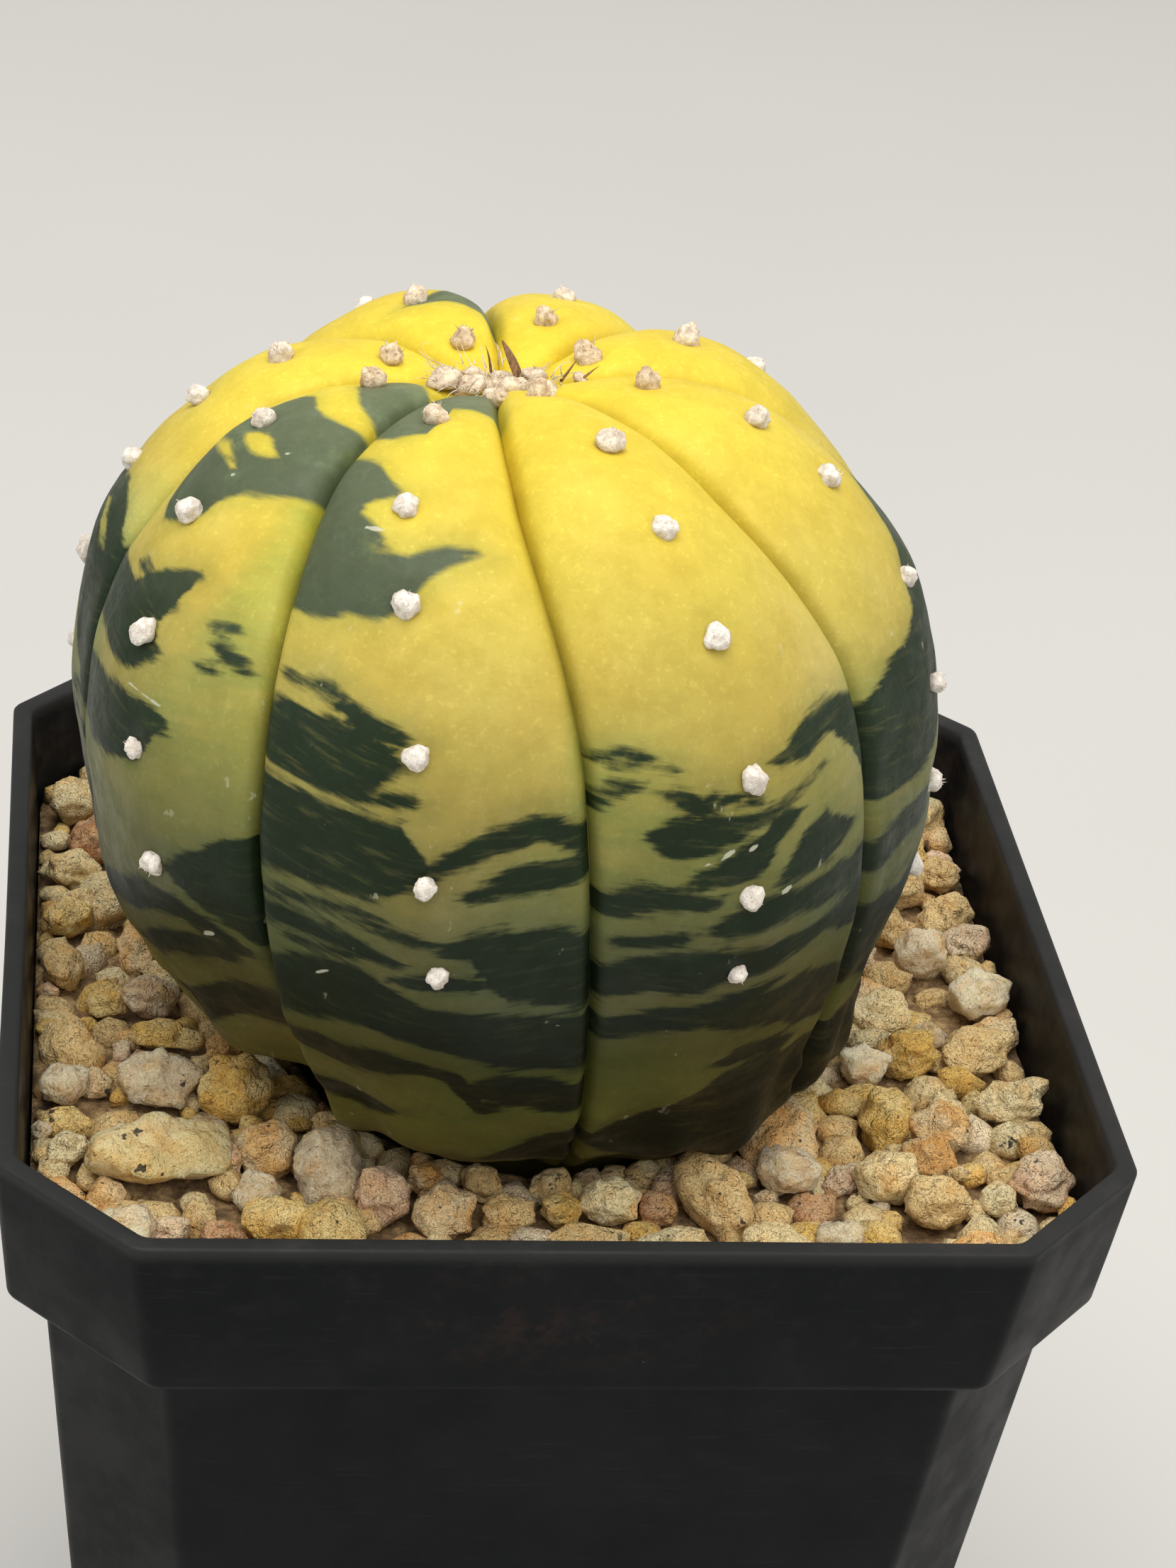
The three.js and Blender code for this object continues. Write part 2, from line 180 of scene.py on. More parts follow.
class Shape:
    """Gathers points, faces and values per point for one mesh."""

    def __init__(self):
        self.points, self.faces, self.values, self.count = [], [], {}, 0

    def add(self, points, faces, **values):
        if isinstance(faces, np.ndarray):
            self.faces.extend((faces + self.count).tolist())
        else:
            self.faces.extend([i + self.count for i in face] for face in faces)
        self.points.append(np.asarray(points, float))
        self.count += len(points)
        for name, value in values.items():
            value = np.full(len(points), value) if np.ndim(value) == 0 else value
            self.values.setdefault(name, []).append(value)

    def make(self, name, material, smooth=True):
        mesh = bpy.data.meshes.new(name)
        mesh.from_pydata((np.vstack(self.points) * MM).tolist(), [], self.faces)
        for label, parts in self.values.items():
            if parts[0].ndim == 2:
                colours = np.vstack(parts)
                colours = np.hstack([colours, np.ones((len(colours), 1))])
                layer = mesh.attributes.new(label, "FLOAT_COLOR", "POINT")
                layer.data.foreach_set("color", colours.ravel())
            else:
                layer = mesh.attributes.new(label, "FLOAT", "POINT")
                layer.data.foreach_set("value", np.concatenate(parts))
        mesh.validate()
        mesh.shade_smooth() if smooth else mesh.shade_flat()
        mesh.materials.append(material)
        piece = bpy.data.objects.new(name, mesh)
        bpy.context.scene.collection.objects.link(piece)
        return piece


def ring_faces(rings, count):
    """Faces between closed rings of the same number of points, laid one after another."""
    row, column = np.meshgrid(np.arange(rings - 1), np.arange(count), indexing="ij")
    low = row * count
    after = (column + 1) % count
    faces = np.stack([low + column, low + after, low + count + after, low + count + column], -1)
    return faces.reshape(-1, 4).tolist()


def fan_faces(centre, ring_start, count, flip=False):
    faces = [(centre, ring_start + (i + 1) % count, ring_start + i) for i in range(count)]
    return [face[::-1] for face in faces] if flip else faces


def circle(sides):
    """Points round a circle of radius 1."""
    turn = np.arange(sides) * 2 * math.pi / sides
    return np.stack([np.cos(turn), np.sin(turn)], -1)


def at_height(ring, z):
    return np.column_stack([ring, np.full(len(ring), z)])


# Materials

class Nodes:
    """Short words for building a material's nodes."""

    def __init__(self, name):
        self.material = bpy.data.materials.new(name)
        self.material.use_nodes = True
        self.tree = self.material.node_tree
        self.shader = self.tree.nodes["Principled BSDF"]

    def node(self, kind, inputs=(), **settings):
        made = self.tree.nodes.new(kind)
        for key, value in settings.items():
            setattr(made, key, value)
        for key, value in dict(inputs).items():
            self.feed(made.inputs[key], value)
        return made

    def feed(self, socket, value):
        if isinstance(value, bpy.types.NodeSocket):
            self.tree.links.new(value, socket)
        elif isinstance(value, tuple) and len(value) == 3 and socket.type == "RGBA":
            socket.default_value = (*value, 1)
        else:
            socket.default_value = value

    def place(self):
        return self.node("ShaderNodeTexCoord").outputs["Object"]

    def stretched(self, scale):
        inputs = {"Vector": self.place(), "Scale": scale}
        return self.node("ShaderNodeMapping", inputs).outputs["Vector"]

    def value(self, label, output="Fac"):
        """A value that the mesh holds per point."""
        return self.node("ShaderNodeAttribute", attribute_name=label).outputs[output]

    def noise(self, scale, detail=3.0, rough=0.55, source=None):
        source = source or self.place()
        inputs = {"Vector": source, "Scale": scale, "Detail": detail, "Roughness": rough}
        return self.node("ShaderNodeTexNoise", inputs).outputs["Fac"]

    def cells(self, scale, source=None, output="Distance", **settings):
        inputs = {"Vector": source or self.place(), "Scale": scale}
        return self.node("ShaderNodeTexVoronoi", inputs, **settings).outputs[output]

    def math(self, operation, a, b):
        return self.node("ShaderNodeMath", {0: a, 1: b}, operation=operation).outputs[0]

    def times(self, a, b):
        return self.math("MULTIPLY", a, b)

    def centred(self, value, gain):
        """A number from 0 to 1, moved to lie round 0 and multiplied."""
        return self.times(self.math("SUBTRACT", value, 0.5), gain)

    def between(self, value, low, high, start=0.0, end=1.0):
        inputs = {"Value": value, "From Min": low, "From Max": high, "To Min": start, "To Max": end}
        made = self.node("ShaderNodeMapRange", inputs, interpolation_type="SMOOTHSTEP")
        return made.outputs["Result"]

    def mix(self, amount, a, b, blend="MIX"):
        made = self.node("ShaderNodeMix", data_type="RGBA", blend_type=blend)
        for socket, value in zip(("Factor", "A", "B"), (amount, a, b)):
            self.feed(made.inputs[socket], value)
        return made.outputs["Result"]

    def tint(self, amount, colour, tint):
        """A colour that goes towards itself times the tint."""
        return self.mix(amount, colour, self.mix(1.0, colour, tint, "MULTIPLY"))

    def ramp(self, value, stops):
        made = self.node("ShaderNodeValToRGB", {"Fac": value})
        elements = made.color_ramp.elements
        while len(elements) < len(stops):
            elements.new(0.5)
        for element, (place, colour) in zip(elements, stops):
            element.position = place
            element.color = (*colour, 1)
        return made.outputs["Color"]

    def bump(self, height, strength, distance, after=None):
        inputs = {"Height": height, "Strength": strength, "Distance": distance}
        if after is not None:
            inputs["Normal"] = after
        return self.node("ShaderNodeBump", inputs).outputs["Normal"]

    def finish(self, **inputs):
        for key, value in inputs.items():
            self.feed(self.shader.inputs[key.replace("_", " ")], value)
        return self.material


# Distance from the crown, in millimetres, over which the two colours of the skin change
COLOUR_REACH = 66
# Colours at shares of that distance. The yellow turns olive towards the foot, and both colours get far
# darker there as painted shade of the lower body; the lighter green near the crown is painted sheen.
YELLOWS_AND_FOOT_SHADE = [
    (0.0, (0.74, 0.575, 0.036)), (0.28, (0.64, 0.50, 0.055)), (0.45, (0.44, 0.35, 0.070)),
    (0.55, (0.27, 0.225, 0.058)), (0.64, (0.12, 0.110, 0.034)), (0.78, (0.060, 0.056, 0.010)),
    (0.88, (0.120, 0.108, 0.020)), (1.0, (0.08, 0.068, 0.011)),
]
GREENS_SHEEN_AND_SHADE = [
    (0.0, (0.165, 0.190, 0.100)), (0.22, (0.110, 0.132, 0.070)), (0.38, (0.055, 0.073, 0.037)),
    (0.46, (0.009, 0.021, 0.006)), (0.62, (0.004, 0.012, 0.002)), (0.80, (0.002, 0.005, 0.001)),
    (1.0, (0.002, 0.003, 0.001)),
]


def cactus_flesh():
    """Waxy skin: yellow above and olive below, under dark green markings with streaky edges. Painted
    shade darkens it towards the foot and in the seam creases, and painted sheen lightens the green
    near the crown.
    """
    n = Nodes("cactus_flesh")
    along = n.value("along")
    streaks = n.node("ShaderNodeCombineXYZ", {
        "X": n.times(n.value("around"), 0.13),
        "Y": n.times(n.value("flow"), 0.85),
        "Z": n.times(n.value("rib"), 7.0),
    }).outputs["Vector"]
    broad_streaks = n.noise(1.0, 4.0, 0.6, streaks)
    fine_streaks = n.noise(3.1, 4.0, 0.65, streaks)
    ragged = n.noise(900, 3.0, 0.6)
    wander = n.math("ADD", n.centred(broad_streaks, 2.6), n.centred(fine_streaks, 1.9))
    wander = n.math("ADD", wander, n.centred(ragged, 0.5))
    wander = n.times(wander, n.between(along, 20.0, 38.0, 0.24, 0.62))
    field = n.math("ADD", n.value("marking"), wander)
    green = n.between(field, -0.42, 0.16)
    halo = n.between(field, -2.2, 0.4)

    share = n.between(along, 0.0, COLOUR_REACH)
    share.node.interpolation_type = "LINEAR"
    # This ramp carries painted shade, darker towards the foot
    yellow = n.ramp(share, YELLOWS_AND_FOOT_SHADE)
    cloudy = n.noise(140, 3.0, 0.55)
    yellow = n.tint(n.between(cloudy, 0.35, 0.7, 0.0, 0.4), yellow, (0.92, 0.80, 0.62))
    flat = n.stretched((1.0, 1.0, 0.6))
    pale = n.between(n.noise(75, 3.0, 0.6, flat), 0.50, 0.72)
    pale = n.times(pale, n.between(along, 10.0, 30.0))
    yellow = n.tint(n.times(pale, 0.6), yellow, (1.08, 1.12, 1.9))
    lime = n.times(n.value("lime"), n.between(broad_streaks, 0.3, 0.65, 0.3, 0.62))
    base = n.tint(lime, yellow, (0.58, 0.86, 0.85))
    base = n.tint(n.times(halo, 0.5), base, (0.55, 0.68, 0.75))

    # This ramp carries painted sheen near the crown and painted shade towards the foot
    leaf = n.ramp(share, GREENS_SHEEN_AND_SHADE)
    washed = n.between(n.noise(2.2, 4.0, 0.7, streaks), 0.50, 0.74, 0.0, 0.24)
    leaf = n.mix(n.times(washed, n.between(along, 24.0, 38.0, 0.12, 1.0)), leaf, base)
    blotches = n.between(n.noise(330, 4.0, 0.65), 0.50, 0.70, 0.0, 0.6)
    leaf = n.tint(blotches, leaf, (1.5, 1.55, 1.45))
    leaf = n.tint(n.between(cloudy, 0.4, 0.7, 0.0, 0.5), leaf, (0.62, 0.68, 0.62))
    skin = n.mix(green, base, leaf)

    # Painted shade darkens the seam creases
    skin = n.tint(n.times(n.value("crease"), 0.35), skin, (0.72, 0.74, 0.30))
    mottles = n.noise(520, 4.0, 0.7)
    skin = n.tint(n.between(mottles, 0.40, 0.66, 0.0, 0.34), skin, (0.74, 0.74, 0.66))
    fibres = n.noise(420, 4.0, 0.7, n.stretched((1.0, 1.0, 0.22)))
    skin = n.tint(n.between(fibres, 0.55, 0.75, 0.0, 0.5), skin, (1.25, 1.25, 1.6))
    grains = n.noise(2400, 3.0, 0.7)
    skin = n.tint(n.between(grains, 0.54, 0.70, 0.0, 0.5), skin, (1.25, 1.3, 1.5))
    fleck = n.between(n.noise(850, 3.0, 0.6, flat), 0.68, 0.73)
    fleck = n.times(fleck, n.between(n.noise(90, 2.0, 0.5), 0.46, 0.60))
    skin = n.mix(n.times(fleck, 0.3), skin, (0.62, 0.60, 0.42))
    tall = n.stretched((1.0, 1.0, 2.0))
    speck = n.math("LESS_THAN", n.cells(330, tall, output="Color"), 0.06)
    speck = n.times(speck, n.between(n.cells(330, tall), 0.13, 0.06))
    skin = n.mix(n.times(speck, 0.8), skin, (0.10, 0.06, 0.02))
    scar = n.between(n.math("ADD", n.value("scar"), n.centred(ragged, 0.5)), 0.0, 0.14)
    skin = n.mix(n.times(scar, 0.7), skin, (0.55, 0.54, 0.42))

    grain = n.bump(n.noise(2600, 3.0, 0.6), 0.10, 0.0001)
    dents = n.bump(mottles, 0.22, 0.0003, n.bump(fibres, 0.15, 0.0003, grain))
    gloss = n.between(mottles, 0.3, 0.7, 0.44, 0.62)
    return n.finish(
        Base_Color=skin, Roughness=gloss, Normal=dents, Specular_IOR_Level=0.22,
        Subsurface_Weight=0.12, Subsurface_Radius=(1.0, 0.75, 0.25), Subsurface_Scale=0.0015,
    )


def wool_pad():
    """Short matted wool, chalky on old pads and straw coloured on young ones, with painted shade
    browning the underside of each pad.
    """
    n = Nodes("wool_pad")
    clumps = n.noise(1700, 4.0, 0.7)
    fibres = n.noise(5200, 3.0, 0.7)
    clumped = n.between(clumps, 0.35, 0.65)
    old = n.mix(clumped, (0.58, 0.51, 0.43), (0.84, 0.79, 0.71))
    young = n.mix(clumped, (0.44, 0.31, 0.19), (0.80, 0.65, 0.45))
    wool = n.mix(n.value("youth"), old, young)
    # Painted shade: the underside of each pad goes brown, more so on young pads
    wool = n.mix(n.value("soiled"), wool, (0.34, 0.20, 0.09))
    matted = n.bump(fibres, 0.5, 0.00012, n.bump(clumps, 0.6, 0.0003))
    return n.finish(Base_Color=wool, Roughness=0.95, Normal=matted, Specular_IOR_Level=0.15)


def dry_scale():
    n = Nodes("dry_scale")
    streaks = n.noise(900, 4.0, 0.7, n.stretched((4.0, 4.0, 0.6)))
    brown = n.mix(n.between(streaks, 0.3, 0.7), (0.09, 0.04, 0.015), (0.34, 0.19, 0.08))
    relief = n.bump(streaks, 0.4, 0.0001)
    return n.finish(Base_Color=brown, Roughness=0.6, Normal=relief, Specular_IOR_Level=0.3)


def broken_stone(name, polish, translucence):
    """Grains of several minerals, with painted shade in the pits. The broad colour of each stone is in
    its mesh.
    """
    n = Nodes(name)
    stone = n.value("stone_colour", "Color")
    mottle = n.noise(650, 5.0, 0.65)
    stone = n.tint(n.between(mottle, 0.44, 0.72, 0.0, 0.6), stone, (0.92, 0.66, 0.36))
    stone = n.mix(n.between(mottle, 0.50, 0.30, 0.0, 0.25), stone, (1.0, 0.80, 0.42))
    grains = n.cells(1500, output="Color")
    stone = n.mix(n.between(grains, 0.75, 1.0, 0.0, 0.25), stone, (1.0, 0.82, 0.52))
    pits = n.noise(1500, 4.0, 0.7)
    # Painted shade darkens the pits of the rough surface
    stone = n.tint(n.between(pits, 0.58, 0.70, 0.0, 0.45), stone, (0.55, 0.40, 0.26))
    speck = n.between(n.noise(1150, 2.0, 0.5), 0.66, 0.70)
    speck = n.times(speck, n.between(n.noise(170, 1.0, 0.5), 0.50, 0.56))
    stone = n.mix(n.times(speck, 0.9), stone, (0.025, 0.027, 0.03))
    facets = n.cells(620, n.stretched((1.0, 1.3, 0.8)), feature="F1", distance="CHEBYCHEV")
    relief = n.bump(mottle, 1.0, 0.0013)
    relief = n.bump(facets, 0.6, 0.0008, relief)
    relief = n.bump(pits, 0.9, 0.0008, relief)
    return n.finish(
        Base_Color=stone, Roughness=n.between(mottle, 0.3, 0.7, polish - 0.12, polish + 0.1),
        Normal=relief, Specular_IOR_Level=0.4, Subsurface_Weight=translucence,
        Subsurface_Radius=(1.0, 0.8, 0.55), Subsurface_Scale=0.0016,
    )


def loose_ground(name, scale, roughness, strength, depth, stops):
    n = Nodes(name)
    crumbs = n.noise(scale, 5.0, 0.7)
    relief = n.bump(crumbs, strength, depth)
    return n.finish(Base_Color=n.ramp(crumbs, stops), Roughness=roughness, Normal=relief)


def dark_grit():
    return loose_ground("dark_grit", 900, 0.92, 0.9, 0.0008, [
        (0.30, (0.06, 0.036, 0.018)), (0.50, (0.26, 0.16, 0.07)), (0.68, (0.62, 0.43, 0.20)),
    ])


def potting_soil():
    return loose_ground("potting_soil", 700, 0.95, 1.0, 0.001, [
        (0.32, (0.018, 0.012, 0.008)), (0.55, (0.06, 0.038, 0.024)), (0.74, (0.20, 0.15, 0.10)),
    ])


def pot_plastic():
    """Charcoal nursery plastic with a fine satin grain, dry dust, a few brown water marks and a
    painted highlight along the top of the rim.
    """
    n = Nodes("pot_plastic")
    cloudy = n.noise(55, 4.0, 0.6)
    plastic = n.mix(n.between(cloudy, 0.3, 0.7), (0.0032, 0.0040, 0.0050), (0.0055, 0.0062, 0.0072))
    dust = n.times(n.between(n.noise(260, 5.0, 0.7), 0.48, 0.75), n.value("dusty"))
    plastic = n.mix(n.times(dust, 0.4), plastic, (0.045, 0.042, 0.037))
    stained = n.times(n.value("stained"), n.between(n.noise(420, 5.0, 0.75), 0.46, 0.62))
    plastic = n.mix(n.times(stained, 0.6), plastic, (0.022, 0.013, 0.010))
    scratches = n.noise(240, 2.0, 0.5, n.stretched((1.0, 1.0, 14.0)))
    plastic = n.mix(n.between(scratches, 0.62, 0.74, 0.0, 0.25), plastic, (0.020, 0.020, 0.021))
    speck = n.math("GREATER_THAN", n.cells(700, output="Color"), 0.9)
    speck = n.times(speck, n.between(n.cells(700), 0.10, 0.04))
    plastic = n.mix(n.times(speck, 0.5), plastic, (0.15, 0.13, 0.11))
    height = n.node("ShaderNodeSeparateXYZ", {"Vector": n.place()}).outputs["Z"]
    # Painted highlight: the top millimetre of the rim is lighter
    rim_highlight = n.between(height, (RIM - 1.2) * MM, (RIM - 0.2) * MM, 0.0, 0.4)
    plastic = n.mix(rim_highlight, plastic, (0.05, 0.05, 0.048))
    relief = n.bump(n.noise(3200, 3.0, 0.6), 0.12, 0.0001, n.bump(cloudy, 0.15, 0.0006))
    gloss = n.between(n.noise(180, 4.0, 0.6), 0.3, 0.7, 0.40, 0.56)
    return n.finish(Base_Color=plastic, Roughness=gloss, Normal=relief, Specular_IOR_Level=0.09)


def pale_floor():
    n = Nodes("pale_floor")
    tone = n.mix(n.noise(12, 2.0, 0.5), (0.55, 0.538, 0.51), (0.59, 0.578, 0.55))
    return n.finish(Base_Color=tone, Roughness=0.7)


# Surface of the cactus

def catmull_rom(points, steps=120):
    """A centripetal curve through the points, as the solid's outline is drawn."""
    padded = np.vstack([2 * points[0] - points[1], points, 2 * points[-1] - points[-2]])
    t = np.linspace(0, 1, steps, endpoint=False)[:, None]
    curve = []
    for a, b, c, d in zip(padded, padded[1:], padded[2:], padded[3:]):
        before, here, after = [np.sqrt(np.linalg.norm(q - p)) for p, q in ((a, b), (b, c), (c, d))]
        leave = ((b - a) / before - (c - a) / (before + here) + (c - b) / here) * here
        arrive = ((c - b) / here - (d - b) / (here + after) + (d - c) / after) * here
        curve.append(
            b + leave * t + (3 * (c - b) - 2 * leave - arrive) * t**2
            + (2 * (b - c) + leave + arrive) * t**3
        )
    return np.vstack([*curve, points[-1:]])


CURVE = catmull_rom(OUTLINE)
ALONG = np.concatenate([[0], np.cumsum(np.linalg.norm(np.diff(CURVE, axis=0), axis=1))])
TANGENT = unit(np.gradient(CURVE, ALONG, axis=0))
LENGTH = ALONG[-1]
OVERHANG = len(CURVE) // 4
GROUND_DISTANCE = np.interp(-GROUND_LEVEL, -CURVE[OVERHANG:, 1], ALONG[OVERHANG:])


def body_centre(height):
    share = np.clip((height - GROUND_LEVEL) / (CROWN_HEIGHT - GROUND_LEVEL), 0, 1)[..., None]
    return FOOT_CENTRE + (CROWN_CENTRE - FOOT_CENTRE) * share


def rib_angle(rib, side, distance):
    seams = np.array([*SEAM_ANGLES, SEAM_ANGLES[0] + 360])
    seam = np.where(side < 0, seams[rib], seams[rib + 1])
    crest = np.array(CREST_ANGLES)[rib]
    swirl = CROWN_SWIRL * (1 - smoothstep(distance, 0, SWIRL_REACH))
    return np.radians(crest + (seam - crest) * np.abs(side) - swirl)


def swelling(angle, distance):
    share = np.minimum(distance / GROUND_DISTANCE, 1)
    full = np.cos(angle - math.radians(FULLEST_SIDE)) * np.sin(np.pi * share)
    sagging = np.maximum(0, np.cos(angle - math.radians(SAGGING_SIDE))) * np.sin(2 * np.pi * share)
    tucked = np.maximum(0, np.cos(angle - math.radians(TUCKED_SIDE))) ** 2
    return FULLNESS * full - SAG * sagging - TUCK * tucked * smoothstep(share, TUCK_START, TUCK_END)


def body_point(rib, side, distance, growth=0.0):
    """A point of the cactus: rib number, place across the rib from -1 to 1, distance from the
    crown along the outline, and how far the surface is grown outwards."""
    rib, side, distance = np.broadcast_arrays(np.asarray(rib), np.asarray(side, float), distance)
    place = [np.interp(distance, ALONG, CURVE[:, k]) for k in (0, 1)]
    along = [np.interp(distance, ALONG, TANGENT[:, k]) for k in (0, 1)]
    angle = rib_angle(rib, side, distance)
    share = distance / GROUND_DISTANCE
    depth = lerp(CROWN_DEPTH, SHOULDER_DEPTH, smoothstep(share, 0, SHOULDER_SHARE))
    depth = lerp(depth, FOOT_DEPTH, smoothstep(share, BELLY_SHARE, 1))
    fall = 1 - (1 - np.abs(side) ** RIB_FLATNESS) ** SEAM_SHARPNESS
    inward = depth * fall - swelling(angle, distance) - growth
    radius = place[0] + along[1] * inward
    height = place[1] - along[0] * inward
    centre = body_centre(height)
    return np.stack([
        centre[..., 0] + radius * np.cos(angle), centre[..., 1] + radius * np.sin(angle), RIM + height,
    ], -1)


def body_normal(rib, side, distance):
    step = 0.4
    down = body_point(rib, side, distance + step) - body_point(rib, side, distance - step)
    across = body_point(rib, side + 0.05, distance) - body_point(rib, side - 0.05, distance)
    return unit(np.cross(down, across))


# Green markings. Each is a band on one rib: its letter, then a few threes of place across the rib,
# upper edge and lower edge, where the edges are distances from the crown in millimetres. A small
# letter is a band that is cut out of those before it.
RIBS = "ABCDEFGH"
A, B, C, D, E, F, G, H = range(8)


def bands(table):
    """Rib, whether it is a cut, and threes of numbers, for each band of a table."""
    made = []
    for word in table.replace(",", " ").split():
        if word.isalpha():
            made.append((RIBS.index(word.upper()), word.islower(), []))
        else:
            made[-1][2].append(float(word))
    return [(rib, cut, np.reshape(numbers, (-1, 3))) for rib, cut, numbers in made]


MARKINGS = bands("""
A  -1 6 12.6, -.5 4 13.5, -.05 4 13, .05 4 9.6, .6 4 9.4, 1 4 9.2
A  -1 14.8 21, -.6 15.7 21, -.42 16.3 18.8, -.25 17.4 18.2
A  -1 19 21.4, -.5 19.4 21.4, -.2 20.6 21.3
a  -.42 18.9 19.4, -.3 19 20.2, -.12 19.4 21.4
A  -1 20.5 25.8, -.6 20.8 25.7, -.45 21.4 25.1, -.2 21.8 25.2, 0 21.7 23.9, .1 21.3 22.9,
    .3 20.8 21.7, .52 20.7 20.9
A  -.85 29.2 29.6, -.5 29.1 29.8, -.3 29.9 31, -.08 30.6 31.3
A  -1 31 34.2, -.5 30.7 34.2, -.3 31.2 34.2, -.18 31.6 33.2
A  -.9 33.6 34.4, -.4 34.3 34.8, 0 33.8 34.2
A  -1 35 40.4, -.5 35.3 39.9, -.2 35.3 39.8, -.02 35.3 38.8, .02 37.6 38.8
A  .08 37.4 38.2, .3 35.8 37.3, .45 35 36.5, .7 34.3 35.4, 1 34.8 36.9
A  .28 38.7 39.2, .5 37.6 38.8, .8 36.9 38.4, 1 36.6 37.8
A  -1 41.6 42, -.4 40.8 41.5, -.1 41.4 42.3, .12 41.8 42.2
A  -1 42.8 43.9, -.5 42.4 43.5, -.15 43.5 44
A  -.8 44.3 44.7, -.4 43.8 44.3
A  -.1 44.6 45.3, .3 44.2 44.9
A  -.9 51.6 53.2, -.3 51.4 53.8, 0 52.4 53
A  .4 52.4 55.4, .8 53 56.4, 1 53.6 56.6
A  -1 56.8 59, -.6 57.4 60
A  .12 42.2 42.8, .3 41.2 43, .5 40.8 46, .8 41 46.4, 1 41.6 46.8
A  -1 46.6 50.4, -.7 45.4 49.8, -.4 44.6 49.2, -.2 45.6 49.6, 0 46.8 50.4, .4 47 51.2, 1 47.6 52.2
A  .1 52.2 53.8, .2 52.8 56.2, .26 55 56.8
A  .45 61.4 64, .75 59.8 65, 1 58.6 65
B  -.96 31.2 31.4, -.78 30.9 31.3, -.66 31.3 31.5
B  -.86 31.8 32, -.7 31.8 32.1
B  -.62 31.9 32.2, -.5 32 32.3
B  -1 33.1 33.9, -.8 32.7 33.4, -.7 32.7 33
B  -.6 33.1 33.4, -.45 33.2 34.6, -.33 34.2 35
B  .15 32.5 32.8, .4 31.2 32.8, .6 30.7 32.2, .8 30.9 33.6, 1 31.6 37.5
B  -.58 35 36.4, -.3 35 36.2, -.05 35.1 35.9, .25 34.3 35, .5 33.8 34
B  -.55 36.2 37, -.35 36 36.8, -.12 36 36.3
B  -.42 38.2 38.9, -.2 37.3 39, -.02 36.6 38.8, .12 35.2 37, .22 35.4 36.2
B  .12 39.2 39.8, .3 37.3 39.9, .5 36.7 39.8, .64 37.6 39.2
B  -1 39 40.2, -.75 38.6 40.2, -.5 38.9 40.1, -.3 39.5 39.9
B  -.22 40.9 42.6, .1 40.5 42, .5 40.4 41.8, .7 40.6 41.4
B  -.3 33.5 33.9, 0 34.3 34.8
B  .3 41.8 42.3, .7 41 42.6, 1 40.2 43.2
B  -.9 41.8 42.2, -.5 41.5 42.3
B  .6 43.6 45, 1 42.4 46.6
B  -1 47.8 49.4, -.4 47.4 49.2, .2 46.3 46.9
B  0 52.6 54.2, .4 53 54.6
B  -1 44 46.4, -.7 43.2 45.8, -.4 43.2 46.2, -.15 43.5 46, .2 43.5 44.9, .6 43.7 44.7
B  -.1 47.4 50.2, .3 47.6 51.2, .5 48 52.6, 1 50 54.4
B  -.34 57.4 65, -.1 55.2 65, .2 54.6 65, .6 55.4 65, 1 56 66
C  -1 32.8 38.4, -.85 32.1 38.6, -.65 31.4 39, -.3 30.6 39, .05 28.2 38, .35 24.5 37, .7 21 33,
    1 19 30
C  -1 41.6 43.4, -.6 40.8 43, 0 41.2 42.6, .6 39 41.6
C  -1 46 52, -.5 46.6 54, .2 45 50, 1 43 50
C  -1 56 66, 0 55 66, 1 54 66
H  -.62 7.2 7.4, -.45 5.6 9, 0 5.4 9.8, .5 5.8 10.8, 1 6 11.2
H  -.75 19.5 20, -.62 16.5 24.5, -.45 13 25.4, -.25 12.6 24.6, 0 13 23.2, .1 13.3 22, .3 13.5 20.8,
    .6 13.2 20, 1 12.4 18.8
h  -.1 16.9 18.4, .1 16.8 18.6, .3 17.4 18.2
h  -.8 19.2 19.7, -.3 18.8 20, 0 19.6 20.2
H  -1 29.5 33.8, -.4 29.4 33.6, -.1 29.8 33.3
H  -.3 29 29.7, -.05 27.5 30, .1 26.9 29.8, .3 26.2 26.6
H  -.05 28.4 30, .14 28.2 29
H  -.42 28 28.5, -.28 27.8 28.4, -.12 28 28.2
H  .55 28.4 28.8, .72 28 28.4
H  .64 29.3 29.9, .86 29.6 30.1
H  .52 30.8 31, .64 30.7 30.9
H  -1 36.4 40.2, -.6 35.6 39.8, -.2 34.8 39.2, .12 34.5 38, .3 34.4 35.6
H  .45 42.6 44, .6 41.4 45.4, .8 40 46, 1 39.2 47.4
H  -.7 50 52, 0 46.2 48.4, .35 45.4 47.4, .7 47 49
H  -.4 53.2 55, .1 49.6 51.4, .6 48.2 50.2
H  -.2 57 60, .4 53 56, .9 51.5 56
G  .1 28.4 32.8, .4 27.4 34.4, .7 28.4 34, .85 29.6 33
g  .3 29.6 30.6, .5 30.2 31.6, .66 31 31.6
G  .8 31 40, 1 29.6 41.4
G  -.9 33 40, -.5 34 39, -.2 35.6 36.6
G  -1 45 50, -.4 44 48.6, .3 45.6 50, 1 46 51
F  -1 7 18, -.86 7 17, -.74 9 14
""")
# How far into or out of a band, in millimetres, is told apart
FIELD_LIMIT = 6.0
# The ribs that the photograph doesn't show take the lower markings of a rib that it shows,
# mirrored and moved along the rib
BORROWED = [(D, B, -1.6), (E, A, 1.2), (F, H, 0.8), (G, B, 9.5)]
BORROWED_FROM = 27.0
